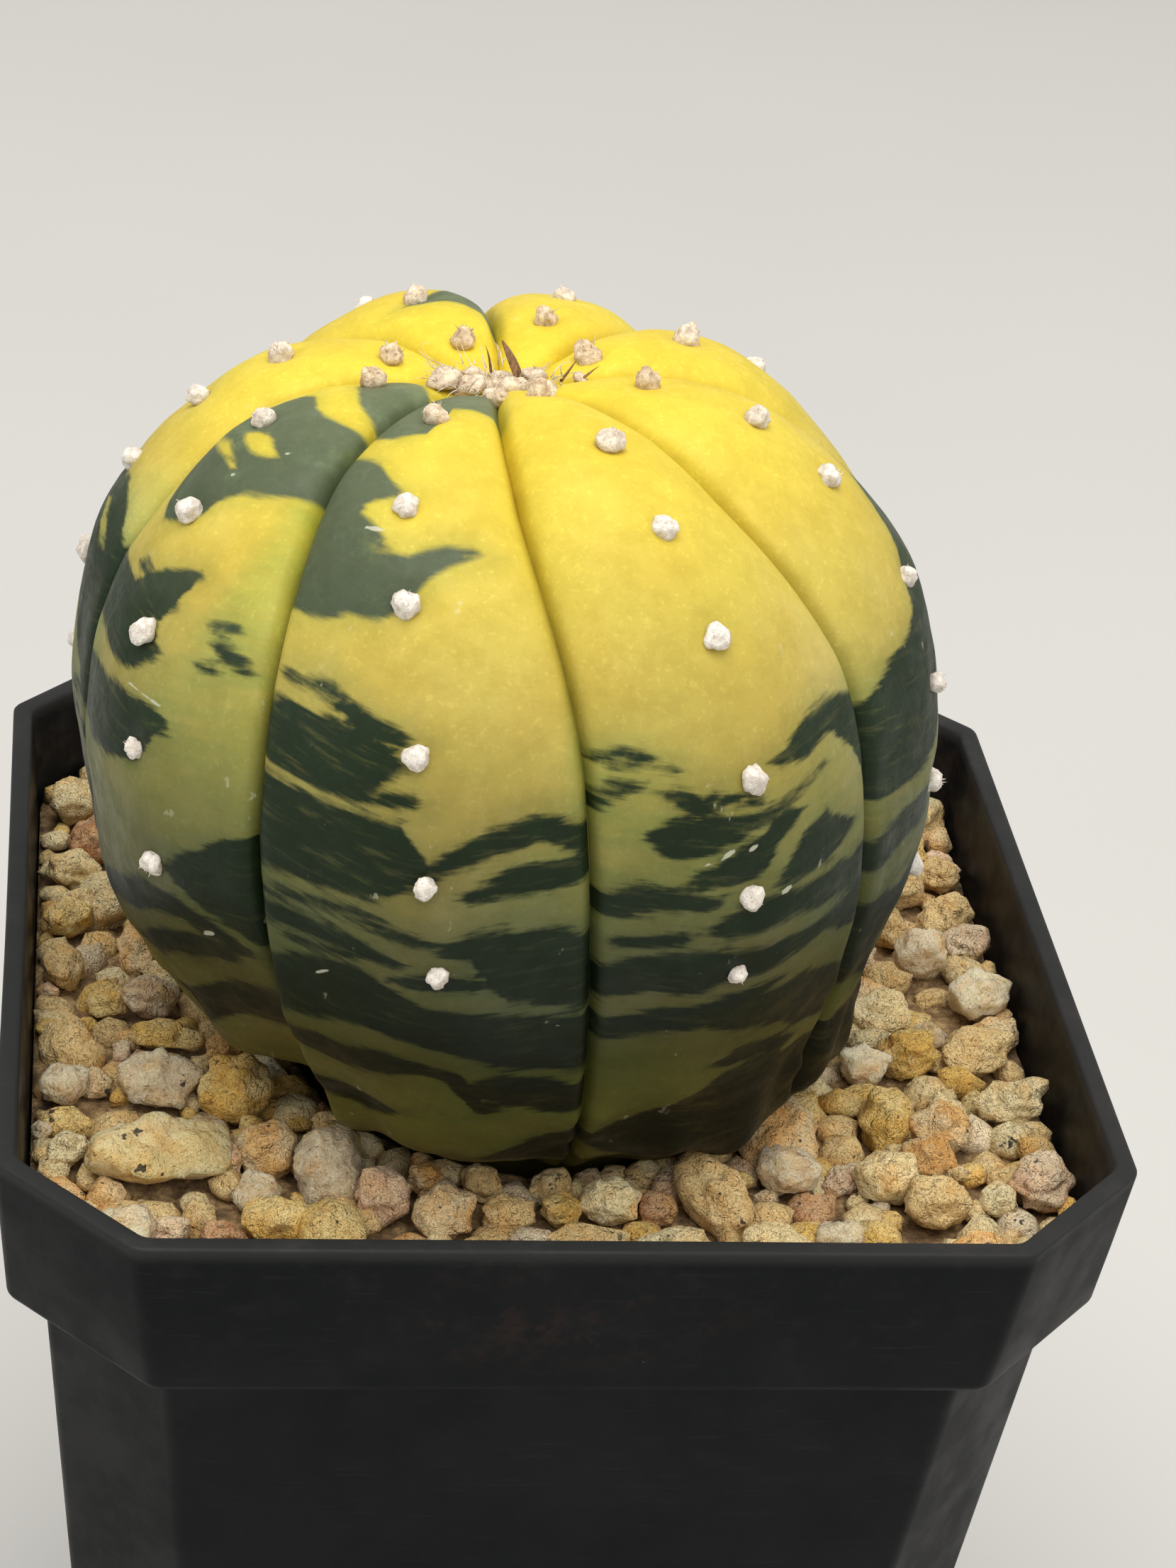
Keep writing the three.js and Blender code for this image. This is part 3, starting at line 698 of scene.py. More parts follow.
# Places where the yellow turns to light green
LIME = bands("""
A  -1 38 52, -.6 40 47, -.3 41 44
A  .86 34 60, 1 27 66
A  .2 52 62, .7 50 64, 1 50 66
B  -1 30 45, -.7 31.4 44, -.4 34 42.6, .1 36 41
B  .5 33.5 46, .8 34 50, 1 28 52
B  -1 48 62, -.6 51 60, -.45 54 58
C  -1 30 58, 0 36 52, 1 32 52
H  .45 30 46, .8 20 48, 1 12 60
H  -1 26 48, -.4 40 46, .1 40 44
G  .3 30 46, 1 24 50
D  -1 30 52, 0 38 50, 1 34 54
E  -1 36 52, 0 42 50, 1 38 52
F  -1 30 54, 0 40 50, 1 34 54
""")
# Pale dry scars
SCARS = bands("""
A  .66 47.8 47.9, .76 47.9 48.15, .86 48.1 48.2
A  -.72 46.8 47, -.6 46 46.3, -.5 45.1 45.4
A  -.34 34.95 35.15, -.02 34.8 35.1
A  -.45 20 20.2, -.3 20.2 20.7, -.17 20.3 20.6
A  .28 42.5 42.9, .34 42.2 42.7
B  -.12 36.9 37.3, -.05 36.9 37.3
B  .1 39.9 40.4, .16 39.9 40.4
B  -.42 37.6 38.1, -.2 36.8 37.2
H  .42 16.9 17.4, .5 16.8 17.3
H  .02 19.9 20.4, .12 20.2 20.6
H  0 33.8 34.1, .3 33.9 34.1
H  .5 47.6 48.2, .56 47.4 48.1
""")


def band_field(side, distance, width, knots, feather=0.55):
    """Distance into a band, in millimetres: above 0 inside it, below 0 outside."""
    across, upper, lower = knots.T
    top, bottom = np.interp(side, across, upper), np.interp(side, across, lower)
    inside = np.minimum(distance - top, bottom - distance)
    past_left = np.where(across[0] <= -1, 0, np.maximum(0, across[0] - side))
    past_right = np.where(across[-1] >= 1, 0, np.maximum(0, side - across[-1]))
    return inside - feather * width * (past_left + past_right)


def mirrored(knots, moved):
    return (knots * (-1, 1, 1))[::-1] + (0, moved, moved)


def marking_field(rib, side, distance, width):
    field = np.full(side.shape, -FIELD_LIMIT)
    bands = list(MARKINGS)
    for number, donor, moved in BORROWED:
        bands += [
            (number, False, mirrored(knots, moved)) for source, _, knots in MARKINGS
            if source == donor and knots[:, 1].min() >= BORROWED_FROM
        ]
    for number, cut, knots in bands:
        here = rib == number
        value = band_field(side[here], distance[here], width[here], knots)
        field[here] = np.minimum(field[here], -value) if cut else np.maximum(field[here], value)
    return np.clip(field, -FIELD_LIMIT, FIELD_LIMIT)


def soft_field(rib, side, distance, width, bands, low, high, feather):
    total = np.zeros(side.shape)
    for number, _, knots in bands:
        here = rib == number
        value = band_field(side[here], distance[here], width[here], knots, feather)
        total[here] = np.maximum(total[here], smoothstep(value, low, high))
    return total


AREOLES = [
    (rib, lerp(*AREOLE_DRIFTS[rib], i / (len(row) - 1)), distance)
    for rib, row in enumerate(AREOLE_ROWS) for i, distance in enumerate(row)
]
RIB_COLUMNS, ROW_STEP = 42, 0.44
AREOLE_SEED, CROWN_SEED = 8, 31
# Distance from the crown past which the plant is under the stones
BURIED = 70


def bell(value, width):
    """1 where the value is 0, falling to nothing over a few widths."""
    return np.exp(-((value / width) ** 2))


def make_cactus_body():
    rows = [[0.25, 0.6], np.arange(1.0, BURIED, ROW_STEP), np.linspace(BURIED, LENGTH - 1, 12)]
    across = np.sin(np.linspace(-1, 1, RIB_COLUMNS, endpoint=False) * math.pi / 2)
    rib, distance = np.meshgrid(np.repeat(np.arange(8), RIB_COLUMNS), np.concatenate(rows))
    side = np.broadcast_to(np.tile(across, 8), rib.shape)
    base = body_point(rib, side, distance)
    half_rib = np.interp(distance, ALONG, CURVE[:, 0]) * math.pi / 8
    seam_gap = (1 - np.abs(side)) * 1.2 * half_rib
    width = np.maximum(half_rib, 0.8)

    # Slow lumps, and a fine crease in each seam, which is filled a little below the shoulder. The
    # crease mask also carries painted shade into the seams.
    growth = 0.22 * noise(base, 8.0, 1) + 0.09 * noise(base, 3.2, 2) + 0.03 * noise(base, 1.3, 3)
    crease = bell(seam_gap, 0.45) * smoothstep(distance, 2, 8) * (1 - smoothstep(distance, 66, 72))
    growth += 0.75 * bell(seam_gap, 2.6) * smoothstep(distance, 16, 34) - 0.5 * crease
    # A swelling with a dimple in it for each pad
    for number, place, at in AREOLES:
        near = (np.abs(distance - at) < 6) & (rib == number)
        apart = np.linalg.norm(base[near] - body_point(number, place, at), axis=-1)
        growth[near] += 0.30 * bell(apart, 3.2) - 0.45 * bell(apart, 1.5)
    # Folds and wrinkles at the foot, and the hollow of the leftmost rib that is seen
    folds = noise(base * (1, 1, 0.18), 3.4, 4)
    wrinkles = noise(base * (0.25, 0.25, 1), 1.5, 5) * (0.4 + bell(seam_gap, 3.0))
    growth += smoothstep(distance, 46, 60) * (0.85 * folds + 0.32 * wrinkles)
    growth -= 1.9 * (rib == H) * smoothstep(side, -0.2, 0.6) * smoothstep(distance, 42, 54)
    chin = smoothstep(distance, 58, 63) * (1 - smoothstep(distance, 64, 69))
    growth += 0.65 * chin * (0.5 + noise(base * (1, 1, 0.3), 5.0, 6))
    growth = np.where(distance > BURIED, np.minimum(growth, 0), growth)
    points = body_point(rib, side, distance, growth)

    crown = [*CROWN_CENTRE, RIM + CROWN_HEIGHT]
    root = [*FOOT_CENTRE, RIM + OUTLINE[-1, 1]]
    last, columns = rib.size, rib.shape[1]
    faces = [face[::-1] for face in ring_faces(*rib.shape)]
    faces += fan_faces(last, 0, columns, True) + fan_faces(last + 1, last - columns, columns)
    ends = [(0, 0), (0.0, 0.0), (0.0, LENGTH), (1.0, 1.0)]
    flat = [np.append(v.ravel(), end) for v, end in zip((rib, side, distance, width), ends)]
    rib, side, distance, width = flat
    body = Shape()
    body.add(
        np.vstack([points.reshape(-1, 3), crown, root]), faces,
        marking=marking_field(*flat),
        lime=soft_field(*flat, LIME, -4.0, 3.5, 1.2),
        scar=soft_field(*flat, SCARS, -0.16, 0.3, 1.6) - 0.45,
        crease=np.append(crease.ravel(), (0, 0)),
        along=distance, around=side * width + rib * 40.0, flow=distance + 1.6 * np.abs(side),
        rib=rib.astype(float),
    )
    return body.make("cactus_body", cactus_flesh())


def tapered_hair(shape, start, middle, end, radius, **values):
    """A thin curved hair with five sides, drawn out to a point."""
    steps, sides = 6, 5
    t = np.linspace(0, 1, steps)[:, None]
    line = (1 - t) ** 2 * start + 2 * t * (1 - t) * middle + t**2 * end
    forward = unit(np.gradient(line, axis=0))
    across = unit(np.cross(forward, (0.3, 0.5, 0.81)))
    upward = np.cross(forward, across)
    thickness = radius * (1 - 0.92 * t**1.4)
    rings = line[:, None] + thickness[:, None] * (circle(sides) @ np.stack([across, upward], 1))
    last = steps * sides
    faces = ring_faces(steps, sides) + fan_faces(last, 0, sides)
    faces += fan_faces(last + 1, last - sides, sides, True)
    shape.add(np.vstack([rings.reshape(-1, 3), line[:1], line[-1:]]), faces, **values)


def turned_to(direction):
    """A matrix whose third column is the direction."""
    third = unit(np.asarray(direction, float))
    first = unit(np.cross((0.31, 0.95, 0.05), third))
    return np.stack([first, np.cross(third, first), third], -1)


def tuft(shape, place, outward, size, youth, seed):
    """A lumpy ball of matted wool, with a ragged outline and a few loose hairs."""
    points, faces = BALLS[TUFT_DETAIL]
    lumps = 0.30 * noise(points + seed * 7.7, 0.75, seed) + 0.14 * noise(points, 0.33, seed + 1)
    lumps += 0.05 * noise(points, 0.16, seed + 2)
    raised = points * (1 + lumps)[:, None] * size
    turn = turned_to(outward)
    # Painted shade on the pad's underside, stronger on young pads
    soiled = smoothstep(-points[:, 2], 0.0, 0.9) * (0.30 + 0.45 * youth)
    shape.add(place + raised @ turn.T, faces, youth=float(youth), soiled=soiled)
    rng = np.random.default_rng(seed)
    for _ in range(int(5 + 5 * youth)):
        heading = unit(np.array([*rng.normal(0, 0.75, 2), 1.0]))
        root = place + turn @ (heading * size * 0.8)
        reach = size[2] * rng.uniform(0.25, 0.55)
        bend = turn @ rng.normal(0, 0.25, 3) * reach
        middle = root + turn @ heading * reach * 0.5
        tip = root + turn @ heading * reach + bend
        tapered_hair(shape, root, middle, tip, 0.045, youth=float(youth), soiled=0.0)


def make_areoles():
    pads = Shape()
    rng = np.random.default_rng(AREOLE_SEED)
    for seed, (rib, side, distance) in enumerate(AREOLES):
        place = body_point(rib, side, distance, 0.15)
        youth = 1 - smoothstep(distance, 7, 21)
        outward = body_normal(rib, side, distance) + (0, 0, 0.35 * youth)
        grown = rng.uniform(0.88, 1.12) * (1 - 0.10 * smoothstep(distance, 38, 48))
        size = AREOLE_RADIUS * grown * np.array([1.0, rng.uniform(0.85, 1.05), 0.92 + 0.3 * youth])
        tuft(pads, place, outward, size, youth, seed + 11)
    return pads.make("areoles", wool_pad())


# Wool tufts of the crown: place from the crown's centre, radius
CROWN_TUFTS = [
    (-3.6, -1.6, 0.75), (-1.9, -1.5, 1.0), (0.6, -1.3, 0.9), (2.4, -2.6, 0.85), (-0.6, -3.3, 0.6),
    (4.7, -1.4, 0.5), (0.2, 0.9, 0.7), (-1.6, 0.8, 0.6), (2.2, 0.6, 0.6), (-0.6, -0.3, 0.8),
]
CROWN_HAIRS, CROWN_HAIR_RADIUS = 120, 0.045
BRACT_LENGTH, BRACT_WIDTH, BRACT_CURVE, BRACT_THICKNESS = 2.6, 0.27, 1.1, 0.09
BRACT_TURN, BRACT_LEAN = 28, -17
# Dark hairs beside it: place from the crown's centre, lean to the right, height
DARK_HAIRS = [(-0.4, 1.2, -0.5, 2.1), (3.6, -0.6, 0.9, 1.5), (4.4, -1.6, 1.3, 1.2)]
DARK_HAIR_RADIUS = 0.11


def crown_place(x, y, lift=0.0):
    """A point over the skin near the crown's centre."""
    level = np.interp(math.hypot(x, y), CURVE[:OVERHANG, 0], CURVE[:OVERHANG, 1])
    return np.array([*(CROWN_CENTRE + (x, y)), RIM + level + lift])


def make_crown_tufts():
    wool = Shape()
    rng = np.random.default_rng(CROWN_SEED)
    for seed, (x, y, radius) in enumerate(CROWN_TUFTS):
        size = radius * np.array([1.25, 1.05, rng.uniform(0.6, 0.95)])
        tuft(wool, crown_place(x, y, 0.30 * radius), (0.12 * x, 0.12 * y, 1), size, 0.8, seed + 101)
    for _ in range(CROWN_HAIRS):
        heading = rng.uniform(0, 2 * math.pi)
        outward = np.array([math.cos(heading), math.sin(heading), 0])
        away = rng.uniform(0.4, 4.0)
        start = crown_place(away * outward[0], -0.9 + 0.8 * away * outward[1], 0.2)
        end = start + outward * rng.uniform(0.4, 2.0)
        end += rng.normal(0, 0.45, 3) + (0, 0, rng.uniform(0.1, 0.9))
        middle = (start + end) / 2 + rng.normal(0, 0.25, 3) + (0, 0, 0.3)
        youth = float(rng.uniform(0.2, 0.7))
        tapered_hair(wool, start, middle, end, CROWN_HAIR_RADIUS, youth=youth, soiled=0.0)
    return wool.make("crown_tufts", wool_pad())


def make_dry_bract():
    """The brown papery scale that stands up in the crown, a curved blade folded along its
    middle, with three dark hairs beside it."""
    rows, columns = 18, 9
    t, u = np.meshgrid(np.linspace(0, 1, rows), np.linspace(-1, 1, columns), indexing="ij")
    half = BRACT_WIDTH * np.maximum(np.sin(np.pi * (0.2 + 0.8 * t)), 0) ** 0.8 + 0.02
    bent = 0.45 * half * np.abs(u) ** 1.5 + BRACT_CURVE * t**2
    sheets = [
        np.stack([half * u, bent + offset, BRACT_LENGTH * t], -1).reshape(-1, 3)
        for offset in (-BRACT_THICKNESS / 2, BRACT_THICKNESS / 2)
    ]
    lean = Matrix.Rotation(math.radians(BRACT_LEAN), 3, "Y")
    lean = np.array(lean @ Matrix.Rotation(math.radians(BRACT_TURN), 3, "Z"))
    number = np.arange(rows * columns).reshape(rows, columns)
    front = np.stack([number[:-1, :-1], number[:-1, 1:], number[1:, 1:], number[1:, :-1]], -1)
    front = front.reshape(-1, 4)
    faces = [*front.tolist(), *(front + number.size)[:, ::-1].tolist()]
    edge = [number[0], number[1:, -1], number[-1, -2::-1], number[-2:0:-1, 0]]
    edge = np.concatenate(edge).tolist()
    for a, b in zip(edge, edge[1:] + edge[:1]):
        faces.append([b, a, a + number.size, b + number.size])
    bract = Shape()
    bract.add(np.vstack(sheets) @ lean.T + crown_place(1.3, -0.1, 0.3), faces)
    for x, y, lean_x, height in DARK_HAIRS:
        start = crown_place(x, y)
        end = start + (lean_x, 0.1, height)
        middle = (start + end) / 2 + (0.15, 0, 0.2)
        tapered_hair(bract, start, middle, end, DARK_HAIR_RADIUS)
    return bract.make("dry_bract", dry_scale())


# Gravel

GOLDEN = (1 + math.sqrt(5)) / 2
CHIP_CORNERS = unit(np.array([
    [-1, GOLDEN, 0], [1, GOLDEN, 0], [-1, -GOLDEN, 0], [1, -GOLDEN, 0],
    [0, -1, GOLDEN], [0, 1, GOLDEN], [0, -1, -GOLDEN], [0, 1, -GOLDEN],
    [GOLDEN, 0, -1], [GOLDEN, 0, 1], [-GOLDEN, 0, -1], [-GOLDEN, 0, 1],
]))
CHIP_FACES = np.array([
    0, 11, 5, 0, 5, 1, 0, 1, 7, 0, 7, 10, 0, 10, 11,
    1, 5, 9, 5, 11, 4, 11, 10, 2, 10, 7, 6, 7, 1, 8,
    3, 9, 4, 3, 4, 2, 3, 2, 6, 3, 6, 8, 3, 8, 9,
    4, 9, 5, 2, 4, 11, 6, 2, 10, 8, 6, 7, 9, 8, 1,
]).reshape(-1, 3)
GROUND_FLARE = 1.1
GRAVEL_BED = RIM - GRAVEL_BED_DEPTH


def collar(z, inset=0.0):
    """Half width and chamfer of the pot's collar at a height, moved in from its outside."""
    share = (z - COLLAR_FOOT) / COLLAR_HEIGHT
    half = lerp(COLLAR_FOOT_HALF, RIM_HALF, share)
    chamfer = lerp(COLLAR_FOOT_CHAMFER, RIM_CHAMFER, share)
    return half - inset, chamfer - inset * (2 - math.sqrt(2))


def clearance_to_body(points):
    height = points[..., 2] - RIM
    radius = GROUND_RADIUS + GROUND_FLARE * (height - GROUND_LEVEL)
    return np.linalg.norm(points[..., :2] - body_centre(height), axis=-1) - radius


def settle(corners, place):
    """Moves a stone clear of the pot's walls and of the cactus. None if it can't be cleared."""
    wall, chamfer = collar(place[2], LIP_WALL)
    wall -= GAP
    cut = math.sqrt(0.5) * (2 * wall - chamfer)
    for _ in range(4):
        for side in range(8):
            angle = side * math.pi / 4
            normal = np.array([math.cos(angle), math.sin(angle), 0])
            reach = (corners @ normal).max() + place @ normal
            limit = wall if side % 2 == 0 else cut
            if reach > limit:
                place = place + normal * (limit - reach)
        inside = clearance_to_body(corners + place).min()
        if inside > GAP - 0.01:
            return place
        away = np.array([*(place[:2] - FOOT_CENTRE), 0])
        place = place + unit(away) * (GAP - inside)
    return None


def crowded(size, place, others, share):
    """Whether a stone's middle is nearer to another's than a share of their sizes."""
    return any(np.linalg.norm(place[:2] - at[:2]) < share * (size + other) for other, at in others)


def seeded_stones():
    """The solid's stones, with the same random draws: size, corners, frame and place."""
    random = seeded_random(STONE_SEED)

    def draw(low, high):
        return lerp(low, high, next(random))

    placed, spots = [], []
    for i in range(STONE_TRIES):
        size = lerp(LARGEST_STONE, SMALLEST_STONE, (i / STONE_TRIES) ** SIZE_FALLOFF)
        width, height = size * draw(*STONE_WIDTHS), size * draw(*STONE_HEIGHTS)
        tilt = [draw(-STONE_TILT, STONE_TILT) for _ in range(2)]
        heading = 2 * math.pi * next(random)
        uneven = np.array([draw(*STONE_UNEVENNESS) for _ in CHIP_CORNERS])
        place = np.array([draw(-RIM_HALF, RIM_HALF), draw(-RIM_HALF, RIM_HALF), GRAVEL_BED])
        place[2] += size * STONE_LIFT + draw(*STONE_SCATTER)
        frame_of = turned(heading, tilt) * (size, width, height)
        corners = (CHIP_CORNERS * uneven[:, None]) @ frame_of.T
        place = settle(corners, place)
        if place is not None and not crowded(size, place, spots, STONE_SPACING):
            placed.append((size, corners, frame_of, place))
            spots.append((size, place))
    return placed


# Colours of the stones: two minerals in each kind, and how often the seeded stones are of it
STONE_KINDS = {
    "tan": ((1.0, 0.73, 0.34), (0.94, 0.66, 0.29), 0.27),
    "cream": ((1.0, 0.84, 0.48), (1.0, 0.78, 0.40), 0.27),
    "ochre": ((0.96, 0.62, 0.16), (1.0, 0.74, 0.30), 0.20),
    "orange": ((0.96, 0.56, 0.20), (1.0, 0.76, 0.42), 0.09),
    "pink": ((1.0, 0.68, 0.44), (1.0, 0.79, 0.52), 0.04),
    "brown": ((0.54, 0.27, 0.13), (0.74, 0.44, 0.22), 0.03),
    "grey": ((0.90, 0.74, 0.50), (1.0, 0.83, 0.56), 0.07),
    "honey": ((0.96, 0.73, 0.33), (1.0, 0.83, 0.46), 0.03),
}
STAIN = (0.88, 0.50, 0.13)
STONE_PIECES = {
    "tan_stones": ("tan",),
    "cream_stones": ("cream",),
    "rusty_stones": ("ochre", "orange", "pink", "brown"),
    "quartz_stones": ("grey", "honey"),
}
# Stones that stand out in the photograph: place, rise over the bed, half sizes, heading, kind
NOTED_STONES = """
-25 -19 2.4, 5.3 3 1.9, 28 honey;   -25 -10.6 1.7, 2.9 2.3 1.8, 0 grey
-30.8 -11 1.4, 2.1 1.8 1.4, 20 grey;   -30.6 -17.6 1.3, 1.6 1.4 1.2, 0 cream
-19.6 -11.6 1.7, 2.8 2.5 2.3, 35 ochre;   -14.6 -20.4 2.2, 2.9 2.5 2.6, 70 grey
-18.2 -17.6 1.5, 2.2 2.4 1.9, 60 orange;   -24.6 -26 1.4, 1.6 1.3 1.1, 10 pink
-17.6 -24.6 1.3, 3 1.9 1.5, 0 ochre;   -21 -26.4 1.3, 1.6 1.3 1.1, -20 brown
-11.2 -22.6 1.7, 2.1 2.2 1.9, 80 pink;   -7.6 -24 1.6, 2.2 2 1.8, 15 orange
-8.4 -20.6 1.4, 1.3 1.2 1.2, 0 orange;   -3.4 -23.4 1, 2 1.6 1.3, 5 tan
-0.2 -23 1.1, 1.5 1.4 1.2, 0 ochre;   2.9 -22.9 1.6, 1.7 1.9 1.8, 75 cream
5.8 -22.9 1.2, 1.5 1.3 1.3, -25 brown;   0.6 -26.4 1.1, 3.3 1.7 1.2, 0 tan
9.4 -22.6 2, 3.9 2.2 2.1, -62 tan;   6.4 -26.6 1.3, 2.5 1.7 1.3, 0 cream
14.6 -19.6 1.8, 2.6 2.2 1.9, -40 grey;   17.2 -25.6 1.1, 2 1.6 1.3, 0 grey
20.8 -20.4 1.8, 2.3 2.2 2, 30 cream;   23.6 -23 1.8, 2.3 2.4 2.1, 80 tan
27.8 -22 1.2, 1.6 1.4 1.3, 0 cream;   30.6 -21 1.9, 2.3 2.3 2, 60 pink
30.4 -12.6 1.9, 2.8 2 1.8, 8 cream;   25.2 -15 1.6, 2.4 2.1 1.8, 0 orange
29.2 -6.4 1.7, 3 2.1 1.8, 10 tan;   30.6 -0.2 1.8, 2.4 2.2 1.9, 0 grey
23.4 -2 1.7, 2.5 2 1.7, 12 cream;   27.6 4.8 1.8, 1.8 2 2, 90 grey
31 6.6 1.7, 2 1.8 1.6, 0 pink;   21.4 -8 1.5, 1.9 1.8 1.6, 0 grey
24.6 -6.8 1.6, 1.8 2.3 1.9, 90 ochre;   28.4 17.6 1.8, 2.3 2.1 1.8, 20 ochre
30.8 15.4 1.4, 1.8 1.7 1.5, 0 tan;   -30.6 22.6 1.7, 1.9 2 1.8, 0 cream
-30.2 13.8 1.5, 2.4 1.8 1.5, 0 cream;   -30.8 8 1.6, 2.1 1.7 1.4, 12 ochre
-31 2.2 1.5, 1.5 2.1 1.5, 20 tan;   -28 -1.6 1.3, 1.6 1.6 1.3, 0 ochre
-25.4 -1.6 1.7, 2.1 1.7 1.5, 5 pink;   -24.2 -5.6 1.4, 2.9 1.5 1.2, -6 ochre
-20.6 -6.4 1.3, 1.3 1.2 1, 30 orange
"""
# Chips that fill the gaps between the others
FILLER_TRIES, LARGEST_FILLER, SMALLEST_FILLER, FILLER_FALLOFF = 3200, 2.4, 0.9, 0.6
# How near stones may be, as a share of their sizes, and where each sort's seeds begin
SEEDED_SPACING, FILLER_SPACING = 0.56, 0.52
NOTED_SEED, SEEDED_SEED, FILLER_SEED, KIND_SEED = 500, 1000, 3000, 77
BED_STEPS = 34


def mineral_colours(points, kind, seed, rng):
    """A stone's colour at each point: patches of its two minerals, with stains, a little
    darker or lighter than its neighbours."""
    first, second, _ = STONE_KINDS[kind]
    patch = smoothstep(noise(points, 2.1, seed) + 0.4 * noise(points, 0.8, seed + 1), -0.35, 0.35)
    colour = lerp(np.array(first), np.array(second), patch[:, None])
    stained = smoothstep(noise(points, 1.5, seed + 2), 0.2, 0.75)[:, None] * rng.uniform(0.1, 0.6)
    return lerp(colour, np.array(STAIN), stained) * rng.uniform(0.80, 1.0)


def add_stone(shapes, corners, frame_of, place, kind, seed, detail):
    """A chip with its edges worn round and a rough broken surface."""
    rng = np.random.default_rng(seed)
    directions, faces = BALLS[detail]
    directions = directions @ frame_of.T
    a, b, c = (corners[CHIP_FACES[:, k]] for k in range(3))
    normals = np.cross(b - a, c - a)
    depths = np.einsum("ij,ij->i", normals, a)
    keep = depths > 1e-6
    facing = np.maximum(0, directions @ (normals[keep] / depths[keep, None]).T)
    sharpness = rng.uniform(16, 44)
    reach = (facing**sharpness).sum(1) ** (-1 / sharpness)
    points = directions * reach[:, None] * 1.10
    size = np.linalg.norm(frame_of[:, 0])
    outward = unit(points)
    shifted = points + seed * 3.3
    rough = 0.075 * size * noise(shifted, 0.8 * size, seed)
    rough -= 0.15 * size * np.abs(noise(shifted, 0.5 * size, seed + 1))
    rough -= 0.09 * size * np.abs(noise(shifted, 0.26 * size, seed + 4))
    rough += (0.05 + 0.012 * size) * noise(shifted, 0.36, seed + 2)
    chipped = np.maximum(0, noise(shifted, 0.55 * size, seed + 3) - 0.25)
    points = points + outward * (rough - 0.28 * size * chipped)[:, None]
    piece = next(name for name, kinds in STONE_PIECES.items() if kind in kinds)
    shapes[piece].add(points + place, faces, stone_colour=mineral_colours(shifted, kind, seed, rng))


def noted_chip(half_sizes, heading, seed):
    rng = np.random.default_rng(seed)
    frame_of = turned(math.radians(heading), rng.uniform(-0.25, 0.25, 2)) * half_sizes
    uneven = rng.uniform(0.88, 1.16, len(CHIP_CORNERS))
    return (CHIP_CORNERS * uneven[:, None]) @ frame_of.T, frame_of


def make_gravel():
    shapes = {name: Shape() for name in STONE_PIECES}
    taken = []
    words = NOTED_STONES.replace(",", " ").replace(";", " ").split()
    for i, row in enumerate(zip(*[iter(words)] * 8)):
        x, y, rise, *half_sizes, heading = (float(word) for word in row[:7])
        corners, frame_of = noted_chip(half_sizes, heading, NOTED_SEED + i)
        place = settle(corners, np.array([x, y, GRAVEL_BED + rise - 0.5]))
        if place is not None:
            taken.append((max(half_sizes[:2]), place))
            add_stone(shapes, corners, frame_of, place, row[7], NOTED_SEED + i, STONE_DETAIL)

    rng = np.random.default_rng(KIND_SEED)
    kinds = list(STONE_KINDS)
    shares = np.array([share for _, _, share in STONE_KINDS.values()])
    shares /= shares.sum()
    for i, (size, corners, frame_of, place) in enumerate(seeded_stones()):
        kind = rng.choice(kinds, p=shares)
        if not crowded(size, place, taken, SEEDED_SPACING):
            taken.append((size, place))
            add_stone(shapes, corners, frame_of, place, kind, SEEDED_SEED + i, STONE_DETAIL)

    fillers = Shape()
    filler_shapes = dict.fromkeys(STONE_PIECES, fillers)
    for i in range(FILLER_TRIES):
        size = lerp(LARGEST_FILLER, SMALLEST_FILLER, (i / FILLER_TRIES) ** FILLER_FALLOFF)
        half_sizes = size * np.array([1, rng.uniform(0.6, 0.95), rng.uniform(0.55, 0.85)])
        corners, frame_of = noted_chip(half_sizes, rng.uniform(0, 360), FILLER_SEED + i)
        x, y = rng.uniform(-RIM_HALF, RIM_HALF, 2)
        place = np.array([x, y, GRAVEL_BED - 0.25 * size + rng.uniform(-0.2, 0.9)])
        place = settle(corners, place)
        kind = rng.choice(kinds, p=shares)
        if place is not None and not crowded(size, place, taken, FILLER_SPACING):
            taken.append((size * 0.9, place))
            add_stone(filler_shapes, corners, frame_of, place, kind, FILLER_SEED + i, CHIP_DETAIL)

    sandy = broken_stone("sandy_stone", 0.82, 0.04)
    rusty = broken_stone("rusty_stone", 0.85, 0.02)
    quartz = broken_stone("quartz_stone", 0.45, 0.5)
    finishes = (sandy, sandy, rusty, quartz)
    pieces = [shape.make(name, finish) for (name, shape), finish in zip(shapes.items(), finishes)]
    return [*pieces, fillers.make("small_stones", sandy), make_gravel_bed()]


def square_outline(half, chamfer, rounding, arc_steps, side_steps):
    """Points round a square with cut corners, each of its eight corners a small arc."""
    side = half - chamfer
    corners = []
    for quarter in range(4):
        angle = quarter * math.pi / 2
        c, s = math.cos(angle), math.sin(angle)
        for x, y in ((half, side), (side, half)):
            corners.append(np.array([c * x - s * y, s * x + c * y]))
    outline = []
    for i, corner in enumerate(corners):
        before, after = unit(corners[i - 1] - corner), unit(corners[(i + 1) % 8] - corner)
        for t in np.linspace(0, 1, arc_steps):
            outline.append(corner + rounding * ((1 - t) ** 2 * before + t**2 * after))
        start, end = corner + rounding * after, corners[(i + 1) % 8] - rounding * after
        steps = side_steps if i % 2 else side_steps // 3
        for t in np.linspace(0, 1, steps + 1)[1:-1]:
            outline.append(lerp(start, end, t))
    return np.array(outline)


